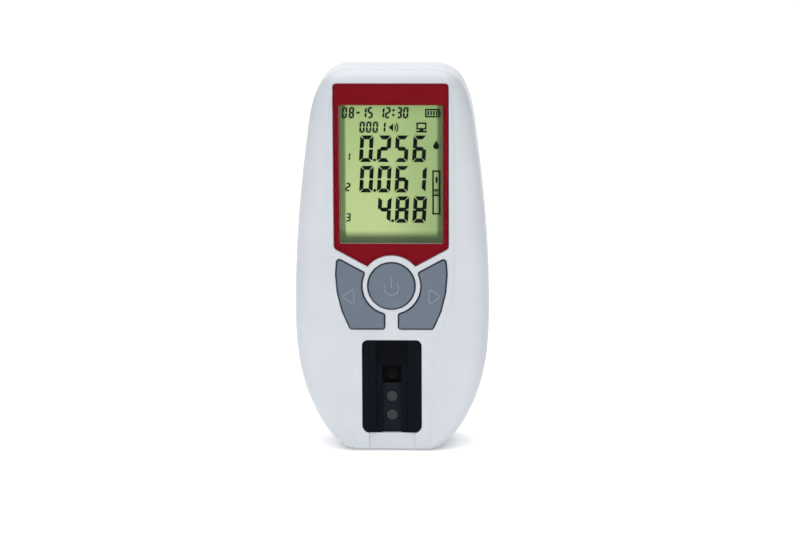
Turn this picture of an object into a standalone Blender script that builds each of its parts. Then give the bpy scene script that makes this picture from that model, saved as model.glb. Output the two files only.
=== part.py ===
"""Hand-held renal function meter, built up from its separate parts.

Metres, +Z up. The meter stands on its flat lower end, its display faces -Y and the origin is the
middle of its footprint.
"""

import math

import bmesh
import bpy
from mathutils import Matrix, Vector
from mathutils.geometry import interpolate_bezier

MM = 0.001

# Clearances
FIT = 0.3 * MM  # between a part and what it rests on
STACK_GAP = 0.2 * MM  # between the thin layers behind the display panel
KEY_GAP = 0.45 * MM  # round each key, seen from the front
SEAM_GAP = 0.3 * MM  # between the two covers
EMBED = 0.5 * MM  # how far a joined-on shape reaches into its wall
OUTSIDE = 2.0 * MM  # how far a cutter reaches past the face it opens

# Case outline, seen from the front
BODY_LENGTH = 134.0 * MM
BODY_HALF_WIDTH = 33.7 * MM
WIDEST_HEIGHT = 49.0 * MM
BASE_HALF_WIDTH = 0.404 * BODY_HALF_WIDTH
HEEL_HALF_WIDTH = 0.748 * BODY_HALF_WIDTH
HEEL_HEIGHT = 10.4 * MM
HEEL_LEAN = 30.0  # degrees from upright
SHOULDER_HALF_WIDTH = 0.875 * BODY_HALF_WIDTH
SHOULDER_DROP = 26.2 * MM  # below the top
SHOULDER_LEAN = 7.5
CORNER_HALF_WIDTH = 0.733 * BODY_HALF_WIDTH
CORNER_DROP = 4.5 * MM
CORNER_LEAN = 25.0
TOP_HALF_WIDTH = 0.534 * BODY_HALF_WIDTH
OUTLINE_FULLNESS = (0.29, 0.355, 0.34, 0.325, 0.43)  # curve handles as a share of each chord
OUTLINE_STEPS = (4, 5, 5, 3, 4)

# Case depth and walls
PLATEAU_Y = -14.0 * MM  # raised middle of the front
PLATEAU_RISE = 0.45 * MM
PLATEAU_SLOPE = 1.5 * MM
PLATEAU_ROOT = 1.6 * MM  # reach of the raised middle into the wall
KEY_RISE = 0.5 * MM
ICON_RISE = 0.2 * MM  # raised signs on the keys
WALL = 2.4 * MM
SEAM_Y = -0.4 * MM
EDGE_DEPTH = 6.0 * MM  # how far back the rounded edge runs
EDGE_INSET_SIDE = 7.0 * MM
EDGE_INSET_TOP = 3.8 * MM
EDGE_INSET_BASE = 1.5 * MM
EDGE_STEPS = 4
LIP_REACH = 1.8 * MM
LIP_THICKNESS = 1.0 * MM
FACE_Y = PLATEAU_Y + PLATEAU_RISE
REAR_Y = -PLATEAU_Y + KEY_RISE + ICON_RISE
FRONT_INNER_Y = FACE_Y + WALL
REAR_INNER_Y = REAR_Y - WALL
LIP_Y = SEAM_Y - LIP_REACH

# Strip holder's opening, the lowest thing on the front, which the rest stacks up from
HOLDER_HALF_WIDTH = 10.35 * MM
HOLDER_BASE_HEIGHT = 6.6 * MM
HOLDER_LENGTH = 33.2 * MM
HOLDER_TOP_HEIGHT = HOLDER_BASE_HEIGHT + HOLDER_LENGTH
WING_BASE_GAP = 3.8 * MM  # from the holder's opening up to the wing keys
WING_BASE_HEIGHT = HOLDER_TOP_HEIGHT + WING_BASE_GAP
POWER_KEY_RISE = 15.45 * MM  # from the wing keys' lower edge to the power key's centre

# Power key and the ring round it
PANEL_HALF_WIDTH = 0.5905 * BODY_HALF_WIDTH
POWER_KEY_HEIGHT = WING_BASE_HEIGHT + POWER_KEY_RISE
POWER_HOLE_RADIUS = 0.422 * PANEL_HALF_WIDTH
KEY_RING_WIDTH = 1.6 * MM
KEY_LIP = 0.6 * MM
KEY_FLANGE = 1.0 * MM
KEY_ROUNDING = 0.45 * MM
KEY_TRAVEL = 0.5 * MM
CIRCLE_STEPS = 30

# Display panel
PANEL_TOP_DROP = 4.5 * MM
PANEL_TOP_CORNER = 1.3 * MM
PANEL_LOW_CORNER = 1.8 * MM
PANEL_TIP_CORNER = 0.45 * MM
PANEL_RISE = 13.05 * MM  # from the power key's centre to the lower outer corner
PANEL_SLANT_HEIGHT = POWER_KEY_HEIGHT + PANEL_RISE
PANEL_SLANT = 28.6
PANEL_ARC_GAP = 2.2 * MM  # from the power key's hole to the panel's arc
LENS_THICKNESS = 1.0 * MM
LENS_GAP = 0.15 * MM
FILM_THICKNESS = 0.2 * MM
WINDOW_SIDE_MARGIN = 2.05 * MM
WINDOW_HALF_WIDTH = PANEL_HALF_WIDTH - WINDOW_SIDE_MARGIN
WINDOW_TOP_MARGIN = 7.6 * MM
WINDOW_LOW_MARGIN = 1.6 * MM
WINDOW_CORNER = 0.6 * MM

# Wing keys
WING_TOP_GAP = 2.1 * MM  # rib between the panel's slant and a wing key's hole
WING_INNER_X = 2.17 * MM
WING_SIDE_STEP = 0.45 * MM  # narrower than the panel
WING_OUTER_X = PANEL_HALF_WIDTH - WING_SIDE_STEP
WING_OUTER_RADIUS = 41.5 * MM
WING_OUTER_LEVEL = 4.25 * MM  # widest point, above the power key
WING_CORNERS = (1.0 * MM, 1.2 * MM, 1.2 * MM, 1.2 * MM, 1.0 * MM)
ICON_LINE = 0.45 * MM
WING_ICON_TIP = WING_OUTER_X - 2.45 * MM
WING_ICON_LENGTH = 4.0 * MM
WING_ICON_HEIGHT = 5.5 * MM
WING_ICON_DROP = 3.6 * MM  # below the power key's centre
POWER_ICON_RADIUS = 2.8 * MM
POWER_ICON_DROP = 1.1 * MM
POWER_ICON_GAP = 32.0
POWER_ICON_BAR = 4.4 * MM

# Strip bay
HOLDER_TOP_CORNER = 2.0 * MM
HOLDER_LOW_CORNER = 2.7 * MM
HOLDER_GAP = 0.2 * MM
HOLDER_LIP = 0.8 * MM
HOLDER_DEPTH = 5.0 * MM
GROOVE_HALF_WIDTH = 5.5 * MM
GROOVE_DEPTH = 0.9 * MM
GROOVE_TOP_MARGIN = 1.9 * MM
LANE_HALF_WIDTH = 3.3 * MM
LANE_DEPTH = 2.0 * MM
HOOD_LENGTH = 7.15 * MM
HOOD_THICKNESS = 0.7 * MM
HOOD_END_WALL = 1.5 * MM
PIT_LENGTH = 6.45 * MM  # from the hood down past the top optical window
PIT_DEPTH = 3.0 * MM
PIT_REACH = 1.0 * MM  # under the hood
EYE_HEIGHTS = (12.8 * MM, 19.45 * MM, 26.6 * MM)  # optical windows, the top one in the pit
EYE_RADIUS = 2.1 * MM
EYE_SINK = 0.1 * MM  # of the two lower windows below the lane
EYE_SEAT = 0.5 * MM
EYE_THICKNESS = 0.8 * MM
CHANNEL_HALF_WIDTH = 8.0 * MM
CHANNEL_DEPTH = 0.8 * MM
PLATEAU_LOW_HALF_WIDTH = 12.4 * MM
PLATEAU_BASE_HEIGHT = 2.6 * MM
PLATEAU_BORDER = 0.8 * MM  # round the panel and the keys

# Board and what sits on it
BOARD_Y = -4.5 * MM
BOARD_THICKNESS = 1.6 * MM
BOARD_INSET = 3.9 * MM
BOARD_TOP_DROP = 8.6 * MM
BOARD_BACK_Y = BOARD_Y + BOARD_THICKNESS
SWITCH_SIDE = 6.0 * MM
SWITCH_HEIGHT = 3.3 * MM
PLUNGER_RADIUS = 1.75 * MM
PLUNGER_DEPTH = 1.6 * MM  # length inside the switch
WING_SWITCH_X = 0.628 * PANEL_HALF_WIDTH
WING_SWITCH_DROP = 2.0 * MM
SWITCH_FRONT_Y = BOARD_Y - FIT - SWITCH_HEIGHT
KEY_STEM_RADIUS = 2.2 * MM
KEY_STEM_GAP = KEY_TRAVEL + 2.0 * FIT  # from a key's stem to its switch
PLUNGER_TIP_Y = SWITCH_FRONT_Y - KEY_STEM_GAP + STACK_GAP
GLASS_MARGIN = 2.2 * MM
GLASS_THICKNESS = 2.2 * MM
BACKLIGHT_THICKNESS = 2.2 * MM
FRAME_WALL = 0.9 * MM
CONNECTOR_WIDTH = 2.0 * MM
OPTICS_HALF_WIDTH = 7.0 * MM
OPTICS_MARGIN = 4.0 * MM
SENSOR_SIDE = 2.6 * MM
SENSOR_HEIGHT = 1.0 * MM
SENSOR_BORE = 2.2 * MM
USB_DROP = 36.0 * MM  # below the top
USB_HEIGHT = BODY_LENGTH - USB_DROP
USB_WIDTH = 7.6 * MM
USB_THICKNESS = 2.7 * MM
USB_LENGTH = 5.6 * MM
USB_WALL = 0.35 * MM
USB_PORT_MARGIN = 0.8 * MM
BUZZER_RADIUS = 5.0 * MM
BUZZER_THICKNESS = 2.2 * MM
BUZZER_GAP = 6.0 * MM  # below the radio module
CHIP_SIDE = 12.0 * MM
CHIP_THICKNESS = 1.2 * MM
RADIO_SIZE = (11.0 * MM, 1.9 * MM, 15.0 * MM)
RADIO_DROP = 22.0 * MM

# Screws and their posts
SCREW_RADIUS = 1.2 * MM
SCREW_LENGTH = 11.0 * MM
SCREW_HEAD_RADIUS = 2.2 * MM
SCREW_HEAD = 1.7 * MM
SCREW_SEAT_Y = 4.0 * MM
WELL_WALL = 1.4 * MM
POST_RADIUS = 2.6 * MM
TOP_POST_X = 0.424 * BODY_HALF_WIDTH
TOP_POST_DROP = 5.4 * MM
LOW_POST_X = 0.51 * BODY_HALF_WIDTH
LOW_POST_HEIGHT = 12.8 * MM
BOARD_SCREW_RADIUS = 0.8 * MM
BOARD_SCREW_LENGTH = 5.0 * MM
BOARD_SCREW_HEAD_RADIUS = 1.8 * MM
BOARD_SCREW_HEAD = 1.2 * MM
BOARD_POST_RADIUS = 2.2 * MM
BOARD_POST_MARGIN = 8.4 * MM  # in from the case's side
BOARD_POST_HEIGHTS = (POWER_KEY_HEIGHT + 7.0 * MM, WING_BASE_HEIGHT - 10.6 * MM)
CROSS_WIDTH = 0.5 * MM
CROSS_DEPTH = 0.7 * MM
SCREW_STEPS = 16

# Batteries and their bay
CELL_RADIUS = 5.2 * MM
CELL_LENGTH = 44.5 * MM
CELL_NUB_RADIUS = 1.9 * MM
CELL_NUB = 0.9 * MM
CELL_COUNT = 3
CELL_GAP = 0.4 * MM
CELL_Y = 6.7 * MM
BAY_BASE_HEIGHT = 24.0 * MM
BAY_WALL = 1.2 * MM
SPRING_ROOM = 3.4 * MM
SPRING_RADIUS = 3.1 * MM
SPRING_WIRE = 0.35 * MM
SPRING_TURNS = 3
SPRING_POINTS = 8  # in each turn
PLATE_THICKNESS = 0.4 * MM
PLATE_HALF_DEPTH = 3.9 * MM  # clear of the door's tabs as they turn
DOOR_THICKNESS = 2.0 * MM
DOOR_MARGIN = 1.9 * MM  # past the bay, on every side
DOOR_CORNER = 2.0 * MM
DOOR_SEAT = 1.2 * MM
TAB_X = 10.0 * MM
TAB_WIDTH = 4.0 * MM
TAB_REACH = 1.6 * MM
TAB_THICKNESS = 1.3 * MM
GRIP_WIDTH = 14.0 * MM
GRIP_DEPTH = 0.9 * MM
GRIP_HEIGHT = 6.0 * MM
RIB_COUNT = 4
RIB_PITCH = 1.4 * MM


def srgb(red, green, blue):
    """Linear colour of a screen colour given in 0 to 255."""
    shares = (channel / 255.0 for channel in (red, green, blue))
    return tuple(c / 12.92 if c <= 0.04045 else ((c + 0.055) / 1.055) ** 2.4 for c in shares)


def clear_scene():
    for item in list(bpy.data.objects):
        bpy.data.objects.remove(item, do_unlink=True)


def new_collection(name):
    collection = bpy.data.collections.new(name)
    bpy.context.scene.collection.children.link(collection)
    return collection


clear_scene()
PARTS = new_collection("renal_function_meter")
CUTTERS = new_collection("cutters")


def finish(name, colour, roughness, metallic=0.0, alpha=1.0):
    """Material of one finish, with its screen colour."""
    material = bpy.data.materials.new(name)
    material.use_nodes = True
    shader = material.node_tree.nodes["Principled BSDF"]
    shader.inputs["Base Color"].default_value = (*srgb(*colour), 1.0)
    shader.inputs["Roughness"].default_value = roughness
    shader.inputs["Metallic"].default_value = metallic
    shader.inputs["Alpha"].default_value = alpha
    return material


SHELL_WHITE = finish("shell_white", (214, 219, 225), 0.35)
PANEL_CLEAR = finish("panel_clear", (235, 240, 242), 0.05, alpha=0.25)
PANEL_RED = finish("panel_red", (128, 14, 30), 0.3)
KEY_GREY = finish("key_grey", (110, 121, 136), 0.5)
HOLDER_BLACK = finish("holder_black", (20, 23, 28), 0.45)
LENS_SMOKE = finish("lens_smoke", (62, 65, 72), 0.1)
LCD_GREEN = finish("lcd_green", (190, 210, 146), 0.2)
LIGHT_GUIDE = finish("light_guide", (225, 232, 215), 0.3)
FRAME_GREY = finish("frame_grey", (90, 92, 95), 0.6)
BOARD_GREEN = finish("board_green", (24, 86, 52), 0.5)
CHIP_BLACK = finish("chip_black", (28, 28, 30), 0.6)
STEEL = finish("steel", (190, 190, 192), 0.3, 1.0)
GOLD_TIN = finish("contact_plate", (205, 198, 180), 0.3, 1.0)
CELL_WRAP = finish("cell_wrap", (60, 64, 70), 0.35)
RUBBER = finish("rubber", (70, 72, 74), 0.8)


def new_part(name, bm, material, collection=PARTS):
    """Object holding a bmesh, with its faces turned out and its own copy of the material."""
    bmesh.ops.recalc_face_normals(bm, faces=bm.faces)
    mesh = bpy.data.meshes.new(name)
    bm.to_mesh(mesh)
    bm.free()
    part = bpy.data.objects.new(name, mesh)
    collection.objects.link(part)
    if material:
        own = material.copy()
        own.name = f"{name}_{material.name}"
        mesh.materials.append(own)
    if collection is CUTTERS:
        part.hide_render = True
        part.display_type = "WIRE"
    return part


def smooth(part, angle=35.0):
    part.data.shade_smooth()
    part.data.set_sharp_from_angle(angle=math.radians(angle))


def combine(part, tool, operation):
    """Boolean of a part with a hidden tool shape."""
    modifier = part.modifiers.new(tool.name, "BOOLEAN")
    modifier.operation = operation
    modifier.solver = "EXACT"
    modifier.object = tool


def cut(part, tool):
    combine(part, tool, "DIFFERENCE")


def add(part, tool):
    combine(part, tool, "UNION")


def box(name, low, high, material=None, collection=CUTTERS):
    """Box between two opposite corners."""
    bm = bmesh.new()
    size = [b - a for a, b in zip(low, high)]
    middle = [(a + b) / 2.0 for a, b in zip(low, high)]
    bmesh.ops.create_cube(bm, size=1.0, matrix=Matrix.Translation(middle) @ Matrix.Diagonal((*size, 1.0)))
    return new_part(name, bm, material, collection)


def rod(name, place, radius, start_y, end_y, material=None, collection=CUTTERS, steps=SCREW_STEPS):
    """Round bar along Y at a place given by X and Z."""
    bm = bmesh.new()
    turn = Matrix.Rotation(math.radians(90.0), 4, "X")
    middle = Matrix.Translation((place[0], (start_y + end_y) / 2.0, place[1]))
    bmesh.ops.create_cone(
        bm,
        cap_ends=True,
        segments=steps,
        radius1=radius,
        radius2=radius,
        depth=end_y - start_y,
        matrix=middle @ turn,
    )
    part = new_part(name, bm, material, collection)
    smooth(part)
    return part


def loft(bm, rows):
    """Quads between neighbouring closed rows of the same number of points."""
    loops = [[bm.verts.new(point) for point in row] for row in rows]
    for low, high in zip(loops, loops[1:]):
        for i in range(len(low)):
            j = (i + 1) % len(low)
            bm.faces.new((low[i], low[j], high[j], high[i]))
    return loops


def prism(name, outline, start_y, end_y, material=None, collection=CUTTERS):
    """Flat outline in X and Z, extruded along Y."""
    bm = bmesh.new()
    face = bm.faces.new([bm.verts.new((x, start_y, z)) for x, z in outline])
    grown = bmesh.ops.extrude_face_region(bm, geom=[face])["geom"]
    moved = [item for item in grown if isinstance(item, bmesh.types.BMVert)]
    bmesh.ops.translate(bm, verts=moved, vec=(0.0, end_y - start_y, 0.0))
    return new_part(name, bm, material, collection)


def offset(outline, distance):
    """Outline moved outwards by a distance, or inwards by a negative one, with mitred corners."""
    moved = []
    count = len(outline)
    for i, point in enumerate(outline):
        here = Vector(point)
        before = (here - Vector(outline[i - 1])).normalized()
        after = (Vector(outline[(i + 1) % count]) - here).normalized()
        side_a = Vector((before.y, -before.x))
        side_b = Vector((after.y, -after.x))
        mitre = (side_a + side_b).normalized()
        moved.append(tuple(here + mitre * (distance / mitre.dot(side_a))))
    return moved


def fillet(corners, steps=4):
    """Outline through corners (x, z, radius), each rounded by an arc of its radius."""
    outline = []
    count = len(corners)
    for i, (x, z, radius) in enumerate(corners):
        here = Vector((x, z))
        if radius == 0.0:
            outline.append(tuple(here))
            continue
        to_before = (Vector(corners[i - 1][:2]) - here).normalized()
        to_after = (Vector(corners[(i + 1) % count][:2]) - here).normalized()
        half = to_before.angle(to_after) / 2.0
        centre = here + (to_before + to_after).normalized() * (radius / math.sin(half))
        start = here + to_before * (radius / math.tan(half)) - centre
        sweep = start.angle_signed(here + to_after * (radius / math.tan(half)) - centre)
        for step in range(steps + 1):
            angle = -sweep * step / steps
            turned = Matrix.Rotation(angle, 2) @ start
            outline.append(tuple(centre + turned))
    return outline


def mirrored(outline):
    return [(-x, z) for x, z in reversed(outline)]


def arc(centre, radius, start, end, steps):
    """Points of an arc between two angles in degrees, both ends left out."""
    angles = (math.radians(start + (end - start) * i / steps) for i in range(1, steps))
    return [(centre[0] + radius * math.cos(a), centre[1] + radius * math.sin(a)) for a in angles]


def circle(centre, radius, steps=CIRCLE_STEPS):
    angles = (2.0 * math.pi * i / steps for i in range(steps))
    return [(centre[0] + radius * math.cos(a), centre[1] + radius * math.sin(a)) for a in angles]


def rectangle(half_width, low, high, corner, low_corner=None):
    """Upright rectangle centred on X = 0, with rounded corners."""
    low_corner = corner if low_corner is None else low_corner
    return fillet(
        [
            (half_width, low, low_corner),
            (half_width, high, corner),
            (-half_width, high, corner),
            (-half_width, low, low_corner),
        ]
    )


def body_outline():
    """Case outline in X and Z, right side upwards and left side downwards."""
    anchors = (
        (BASE_HALF_WIDTH, 0.0, 90.0),
        (HEEL_HALF_WIDTH, HEEL_HEIGHT, HEEL_LEAN),
        (BODY_HALF_WIDTH, WIDEST_HEIGHT, 0.0),
        (SHOULDER_HALF_WIDTH, BODY_LENGTH - SHOULDER_DROP, -SHOULDER_LEAN),
        (CORNER_HALF_WIDTH, BODY_LENGTH - CORNER_DROP, -CORNER_LEAN),
        (TOP_HALF_WIDTH, BODY_LENGTH, -90.0),
    )
    right = []
    for start, end, fullness, steps in zip(anchors, anchors[1:], OUTLINE_FULLNESS, OUTLINE_STEPS):
        a, b = Vector(start[:2]), Vector(end[:2])
        reach = (b - a).length * fullness
        lean_a, lean_b = math.radians(start[2]), math.radians(end[2])
        leave = a + Vector((math.sin(lean_a), math.cos(lean_a))) * reach
        arrive = b - Vector((math.sin(lean_b), math.cos(lean_b))) * reach
        right.extend(tuple(point)[:2] for point in interpolate_bezier(a, leave, arrive, b, steps + 1)[:-1])
    right.append((TOP_HALF_WIDTH, BODY_LENGTH))
    return right + mirrored(right)


OUTLINE = body_outline()


def outline_normals(outline):
    count = len(outline)
    normals = []
    for i in range(count):
        along = Vector(outline[(i + 1) % count]) - Vector(outline[i - 1])
        normals.append(Vector((along.y, -along.x)).normalized())
    return normals


def cover_shell(name, face_y, rim_y, material):
    """Shell of one cover: flat face, rounded edge, straight wall up to its rim."""
    towards_rim = math.copysign(1.0, rim_y - face_y)
    normals = outline_normals(OUTLINE)
    rows = []
    for step in range(EDGE_STEPS + 1):
        angle = math.radians(90.0 * step / EDGE_STEPS)
        y = face_y + towards_rim * EDGE_DEPTH * (1.0 - math.cos(angle))
        row = []
        for (x, z), normal in zip(OUTLINE, normals):
            end_inset = EDGE_INSET_TOP if normal.y > 0.0 else EDGE_INSET_BASE
            full = EDGE_INSET_SIDE + (end_inset - EDGE_INSET_SIDE) * abs(normal.y)
            inset = full * (1.0 - math.sin(angle))
            row.append((x - normal.x * inset, y, z - normal.y * inset))
        rows.append(row)
    rows.append([(x, rim_y, z) for x, z in OUTLINE])
    bm = bmesh.new()
    loops = loft(bm, rows)
    bm.faces.new(loops[0])
    cover = new_part(name, bm, material)
    wall = cover.modifiers.new("wall", "SOLIDIFY")
    wall.thickness = WALL
    wall.offset = -1.0
    wall.use_even_offset = True
    smooth(cover)
    return cover


def line_at(x):
    """Height of the panel's lower slant at a distance from the middle."""
    return PANEL_SLANT_HEIGHT - (PANEL_HALF_WIDTH - x) * math.tan(math.radians(PANEL_SLANT))


def slant_meets_circle(drop, radius):
    """Where the slant, lowered by a drop, meets a circle round the power key, and at what angle."""
    slope = math.tan(math.radians(PANEL_SLANT))
    rise = line_at(0.0) - drop - POWER_KEY_HEIGHT
    a = 1.0 + slope**2
    b = 2.0 * slope * rise
    c = rise**2 - radius**2
    x = (-b + math.sqrt(b**2 - 4.0 * a * c)) / (2.0 * a)
    z = POWER_KEY_HEIGHT + rise + slope * x
    return x, z, math.degrees(math.atan2(z - POWER_KEY_HEIGHT, x))


def panel_outline():
    """Red panel: upright rectangle whose lower edge slants down to an arc over the power key."""
    radius = POWER_HOLE_RADIUS + PANEL_ARC_GAP
    top = BODY_LENGTH - PANEL_TOP_DROP
    tip_x, tip_z, tip_angle = slant_meets_circle(0.0, radius)
    right = [
        (tip_x, tip_z, PANEL_TIP_CORNER),
        (PANEL_HALF_WIDTH, PANEL_SLANT_HEIGHT, PANEL_LOW_CORNER),
        (PANEL_HALF_WIDTH, top, PANEL_TOP_CORNER),
    ]
    left = [(-x, z, r) for x, z, r in reversed(right)]
    over_key = arc((0.0, POWER_KEY_HEIGHT), radius, 180.0 - tip_angle, tip_angle, 10)
    return fillet(right + left + [(x, z, 0.0) for x, z in over_key])


def wing_outline():
    """Hole of the right-hand wing key."""
    base_inner, base_outer, top_outer, top_inner, inner = WING_CORNERS
    hub = (0.0, POWER_KEY_HEIGHT)
    ring = POWER_HOLE_RADIUS + KEY_RING_WIDTH
    drop = WING_TOP_GAP / math.cos(math.radians(PANEL_SLANT))
    widest = POWER_KEY_HEIGHT + WING_OUTER_LEVEL
    centre_x = WING_OUTER_X - WING_OUTER_RADIUS

    def outer_x(z):
        return centre_x + math.sqrt(WING_OUTER_RADIUS**2 - (z - widest) ** 2)

    top_x, top_z, top_angle = slant_meets_circle(drop, ring)
    corner_z = line_at(WING_OUTER_X) - drop
    corner_x = outer_x(corner_z)
    inner_z = POWER_KEY_HEIGHT - math.sqrt(ring**2 - WING_INNER_X**2)
    inner_angle = math.degrees(math.atan2(inner_z - POWER_KEY_HEIGHT, WING_INNER_X))
    side_steps = 4
    side = [
        WING_BASE_HEIGHT + (corner_z - WING_BASE_HEIGHT) * i / side_steps for i in range(1, side_steps)
    ]
    return fillet(
        [
            (WING_INNER_X, WING_BASE_HEIGHT, base_inner),
            (outer_x(WING_BASE_HEIGHT), WING_BASE_HEIGHT, base_outer),
            *((outer_x(z), z, 0.0) for z in side),
            (corner_x, line_at(corner_x) - drop, top_outer),
            (top_x, top_z, top_inner),
            *((x, z, 0.0) for x, z in arc(hub, ring, top_angle, inner_angle, 9)),
            (WING_INNER_X, inner_z, inner),
        ]
    )


def plateau_outline():
    """Raised middle of the front: round the panel and keys, then narrow beside the strip bay."""
    wide = PANEL_HALF_WIDTH + PLATEAU_BORDER
    top = BODY_LENGTH - PANEL_TOP_DROP + PLATEAU_BORDER
    narrow = PLATEAU_LOW_HALF_WIDTH
    waist = HOLDER_TOP_HEIGHT
    key_base = WING_BASE_HEIGHT - PLATEAU_BORDER
    widest = POWER_KEY_HEIGHT + WING_OUTER_LEVEL
    centre_x = WING_OUTER_X - WING_OUTER_RADIUS
    radius = WING_OUTER_RADIUS + wide - WING_OUTER_X
    side_steps = 5
    heights = [key_base + (widest - key_base) * i / side_steps for i in range(side_steps)]
    side = [(centre_x + math.sqrt(radius**2 - (z - widest) ** 2), z) for z in heights]
    corner = PANEL_TOP_CORNER + PLATEAU_BORDER
    right = [
        (narrow, PLATEAU_BASE_HEIGHT, corner),
        (narrow, waist, corner),
        (side[0][0], side[0][1], corner),
        *((x, z, 0.0) for x, z in side[1:]),
        (wide, widest, 0.0),
        (wide, top, corner),
    ]
    left = [(-x, z, r) for x, z, r in reversed(right)]
    return fillet(right + left, steps=3)


PANEL = panel_outline()
WING = wing_outline()
HOLDER_HOLE = rectangle(
    HOLDER_HALF_WIDTH,
    HOLDER_BASE_HEIGHT,
    HOLDER_TOP_HEIGHT,
    HOLDER_TOP_CORNER,
    HOLDER_LOW_CORNER,
)
HUB = (0.0, POWER_KEY_HEIGHT)
WINDOW_LOW = PANEL_SLANT_HEIGHT + WINDOW_LOW_MARGIN
WINDOW_HIGH = BODY_LENGTH - PANEL_TOP_DROP - WINDOW_TOP_MARGIN
WINDOW = rectangle(WINDOW_HALF_WIDTH, WINDOW_LOW, WINDOW_HIGH, WINDOW_CORNER)
POCKET_Y = PLATEAU_Y + LENS_THICKNESS + FILM_THICKNESS + 2.0 * STACK_GAP
CASE_POSTS = [(side * TOP_POST_X, BODY_LENGTH - TOP_POST_DROP) for side in (-1, 1)]
CASE_POSTS += [(side * LOW_POST_X, LOW_POST_HEIGHT) for side in (-1, 1)]
EYES = [(0.0, height) for height in EYE_HEIGHTS]
BAY_HALF_WIDTH = (CELL_COUNT * CELL_RADIUS) + CELL_GAP * (CELL_COUNT + 1) / 2.0
BAY_TOP = BAY_BASE_HEIGHT + 2.0 * (PLATE_THICKNESS + FIT) + SPRING_ROOM + CELL_LENGTH + 2.0 * FIT
BAY_FLOOR_Y = CELL_Y - CELL_RADIUS - FIT
DOOR_HALF_WIDTH = BAY_HALF_WIDTH + DOOR_MARGIN
DOOR_BASE = BAY_BASE_HEIGHT - DOOR_MARGIN
DOOR_TOP = BAY_TOP + DOOR_MARGIN
DOOR_INNER_Y = REAR_Y - DOOR_THICKNESS


def half_width_at(height):
    """Case half width at a height."""
    right = OUTLINE[: len(OUTLINE) // 2]
    low = max((p for p in right if p[1] <= height), key=lambda p: p[1])
    high = min((p for p in right if p[1] > height), key=lambda p: p[1])
    share = (height - low[1]) / (high[1] - low[1])
    return low[0] + (high[0] - low[0]) * share


BOARD_PLACES = [
    (side * (half_width_at(height) - BOARD_POST_MARGIN), height)
    for height in BOARD_POST_HEIGHTS
    for side in (-1, 1)
]
PORT_X = half_width_at(USB_HEIGHT) - WALL


def plateau_shape():
    """Low raised field with a soft slope all round, sunk into the front wall."""
    outline = plateau_outline()
    slope_steps = 3
    ceiling = BODY_LENGTH - EDGE_INSET_TOP + EMBED
    levels = [(PLATEAU_SLOPE, -PLATEAU_ROOT)]
    for step in range(slope_steps + 1):
        share = step / slope_steps
        rise = PLATEAU_RISE * (1.0 - math.cos(math.pi * share)) / 2.0
        levels.append((PLATEAU_SLOPE * (1.0 - share), rise))
    rows = [[(x, FACE_Y - rise, min(z, ceiling)) for x, z in offset(outline, out)] for out, rise in levels]
    bm = bmesh.new()
    loops = loft(bm, rows)
    bm.faces.new(loops[0])
    bm.faces.new(loops[-1])
    return new_part("plateau_shape", bm, None, CUTTERS)


def build_front_cover():
    """Front half of the case, with its panel pocket, key holes, strip bay, posts and port."""
    cover = cover_shell("front_cover", FACE_Y, SEAM_Y - SEAM_GAP / 2.0, SHELL_WHITE)
    add(cover, plateau_shape())
    for i, place in enumerate(CASE_POSTS, 1):
        add(cover, rod(f"front_post_{i}", place, POST_RADIUS, FRONT_INNER_Y - EMBED, LIP_Y - FIT))
        cut(cover, rod(f"front_bore_{i}", place, SCREW_RADIUS + FIT, SCREW_SEAT_Y - SCREW_LENGTH, OUTSIDE))
    for i, place in enumerate(BOARD_PLACES, 1):
        add(cover, rod(f"board_post_{i}", place, BOARD_POST_RADIUS, FRONT_INNER_Y - EMBED, BOARD_Y - FIT))
        reach = BOARD_BACK_Y - BOARD_SCREW_LENGTH
        cut(cover, rod(f"board_bore_{i}", place, BOARD_SCREW_RADIUS + FIT, reach, OUTSIDE))
    cut(cover, prism("panel_pocket", PANEL, PLATEAU_Y - OUTSIDE, POCKET_Y))
    through = (PLATEAU_Y - OUTSIDE, FRONT_INNER_Y + OUTSIDE)
    cut(cover, prism("window_hole", WINDOW, *through))
    cut(cover, prism("power_key_hole", circle(HUB, POWER_HOLE_RADIUS), *through))
    cut(cover, prism("right_key_hole", WING, *through))
    cut(cover, prism("left_key_hole", mirrored(WING), *through))
    cut(cover, prism("holder_hole", HOLDER_HOLE, *through))
    low = (-CHANNEL_HALF_WIDTH, PLATEAU_Y - OUTSIDE, -OUTSIDE)
    high = (CHANNEL_HALF_WIDTH, PLATEAU_Y + CHANNEL_DEPTH, HOLDER_BASE_HEIGHT + HOLDER_LOW_CORNER)
    cut(cover, box("strip_channel", low, high))
    half = USB_WIDTH / 2.0 + USB_PORT_MARGIN
    low = (-BODY_HALF_WIDTH, BOARD_Y - FIT - USB_THICKNESS - USB_PORT_MARGIN, USB_HEIGHT - half)
    high = (-PORT_X + EMBED, BOARD_Y - FIT + USB_PORT_MARGIN, USB_HEIGHT + half)
    cut(cover, box("usb_port", low, high))


def seam_lip():
    """Band inside the rear cover's rim that reaches into the front cover."""
    outer = offset(OUTLINE, -(WALL + FIT))
    joined = offset(OUTLINE, -(WALL - EMBED))
    inner = offset(OUTLINE, -(WALL + FIT + LIP_THICKNESS))
    tip = LIP_Y
    rim = SEAM_Y + SEAM_GAP / 2.0 + 2.0 * EMBED
    back = rim + LIP_REACH
    levels = ((outer, tip), (outer, rim), (joined, rim), (joined, back), (inner, back), (inner, tip))
    rows = [[(x, y, z) for x, z in outline] for outline, y in levels]
    bm = bmesh.new()
    loft(bm, rows + rows[:1])
    bmesh.ops.remove_doubles(bm, verts=bm.verts, dist=0.01 * MM)
    return new_part("seam_lip", bm, None, CUTTERS)


def tab_box(name, side, low_y, high_y, low_z, high_z, grow=0.0):
    """Box at one of the door's two lower tabs."""
    half = TAB_WIDTH / 2.0 + grow
    return box(name, (side * TAB_X - half, low_y, low_z), (side * TAB_X + half, high_y, high_z))


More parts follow.
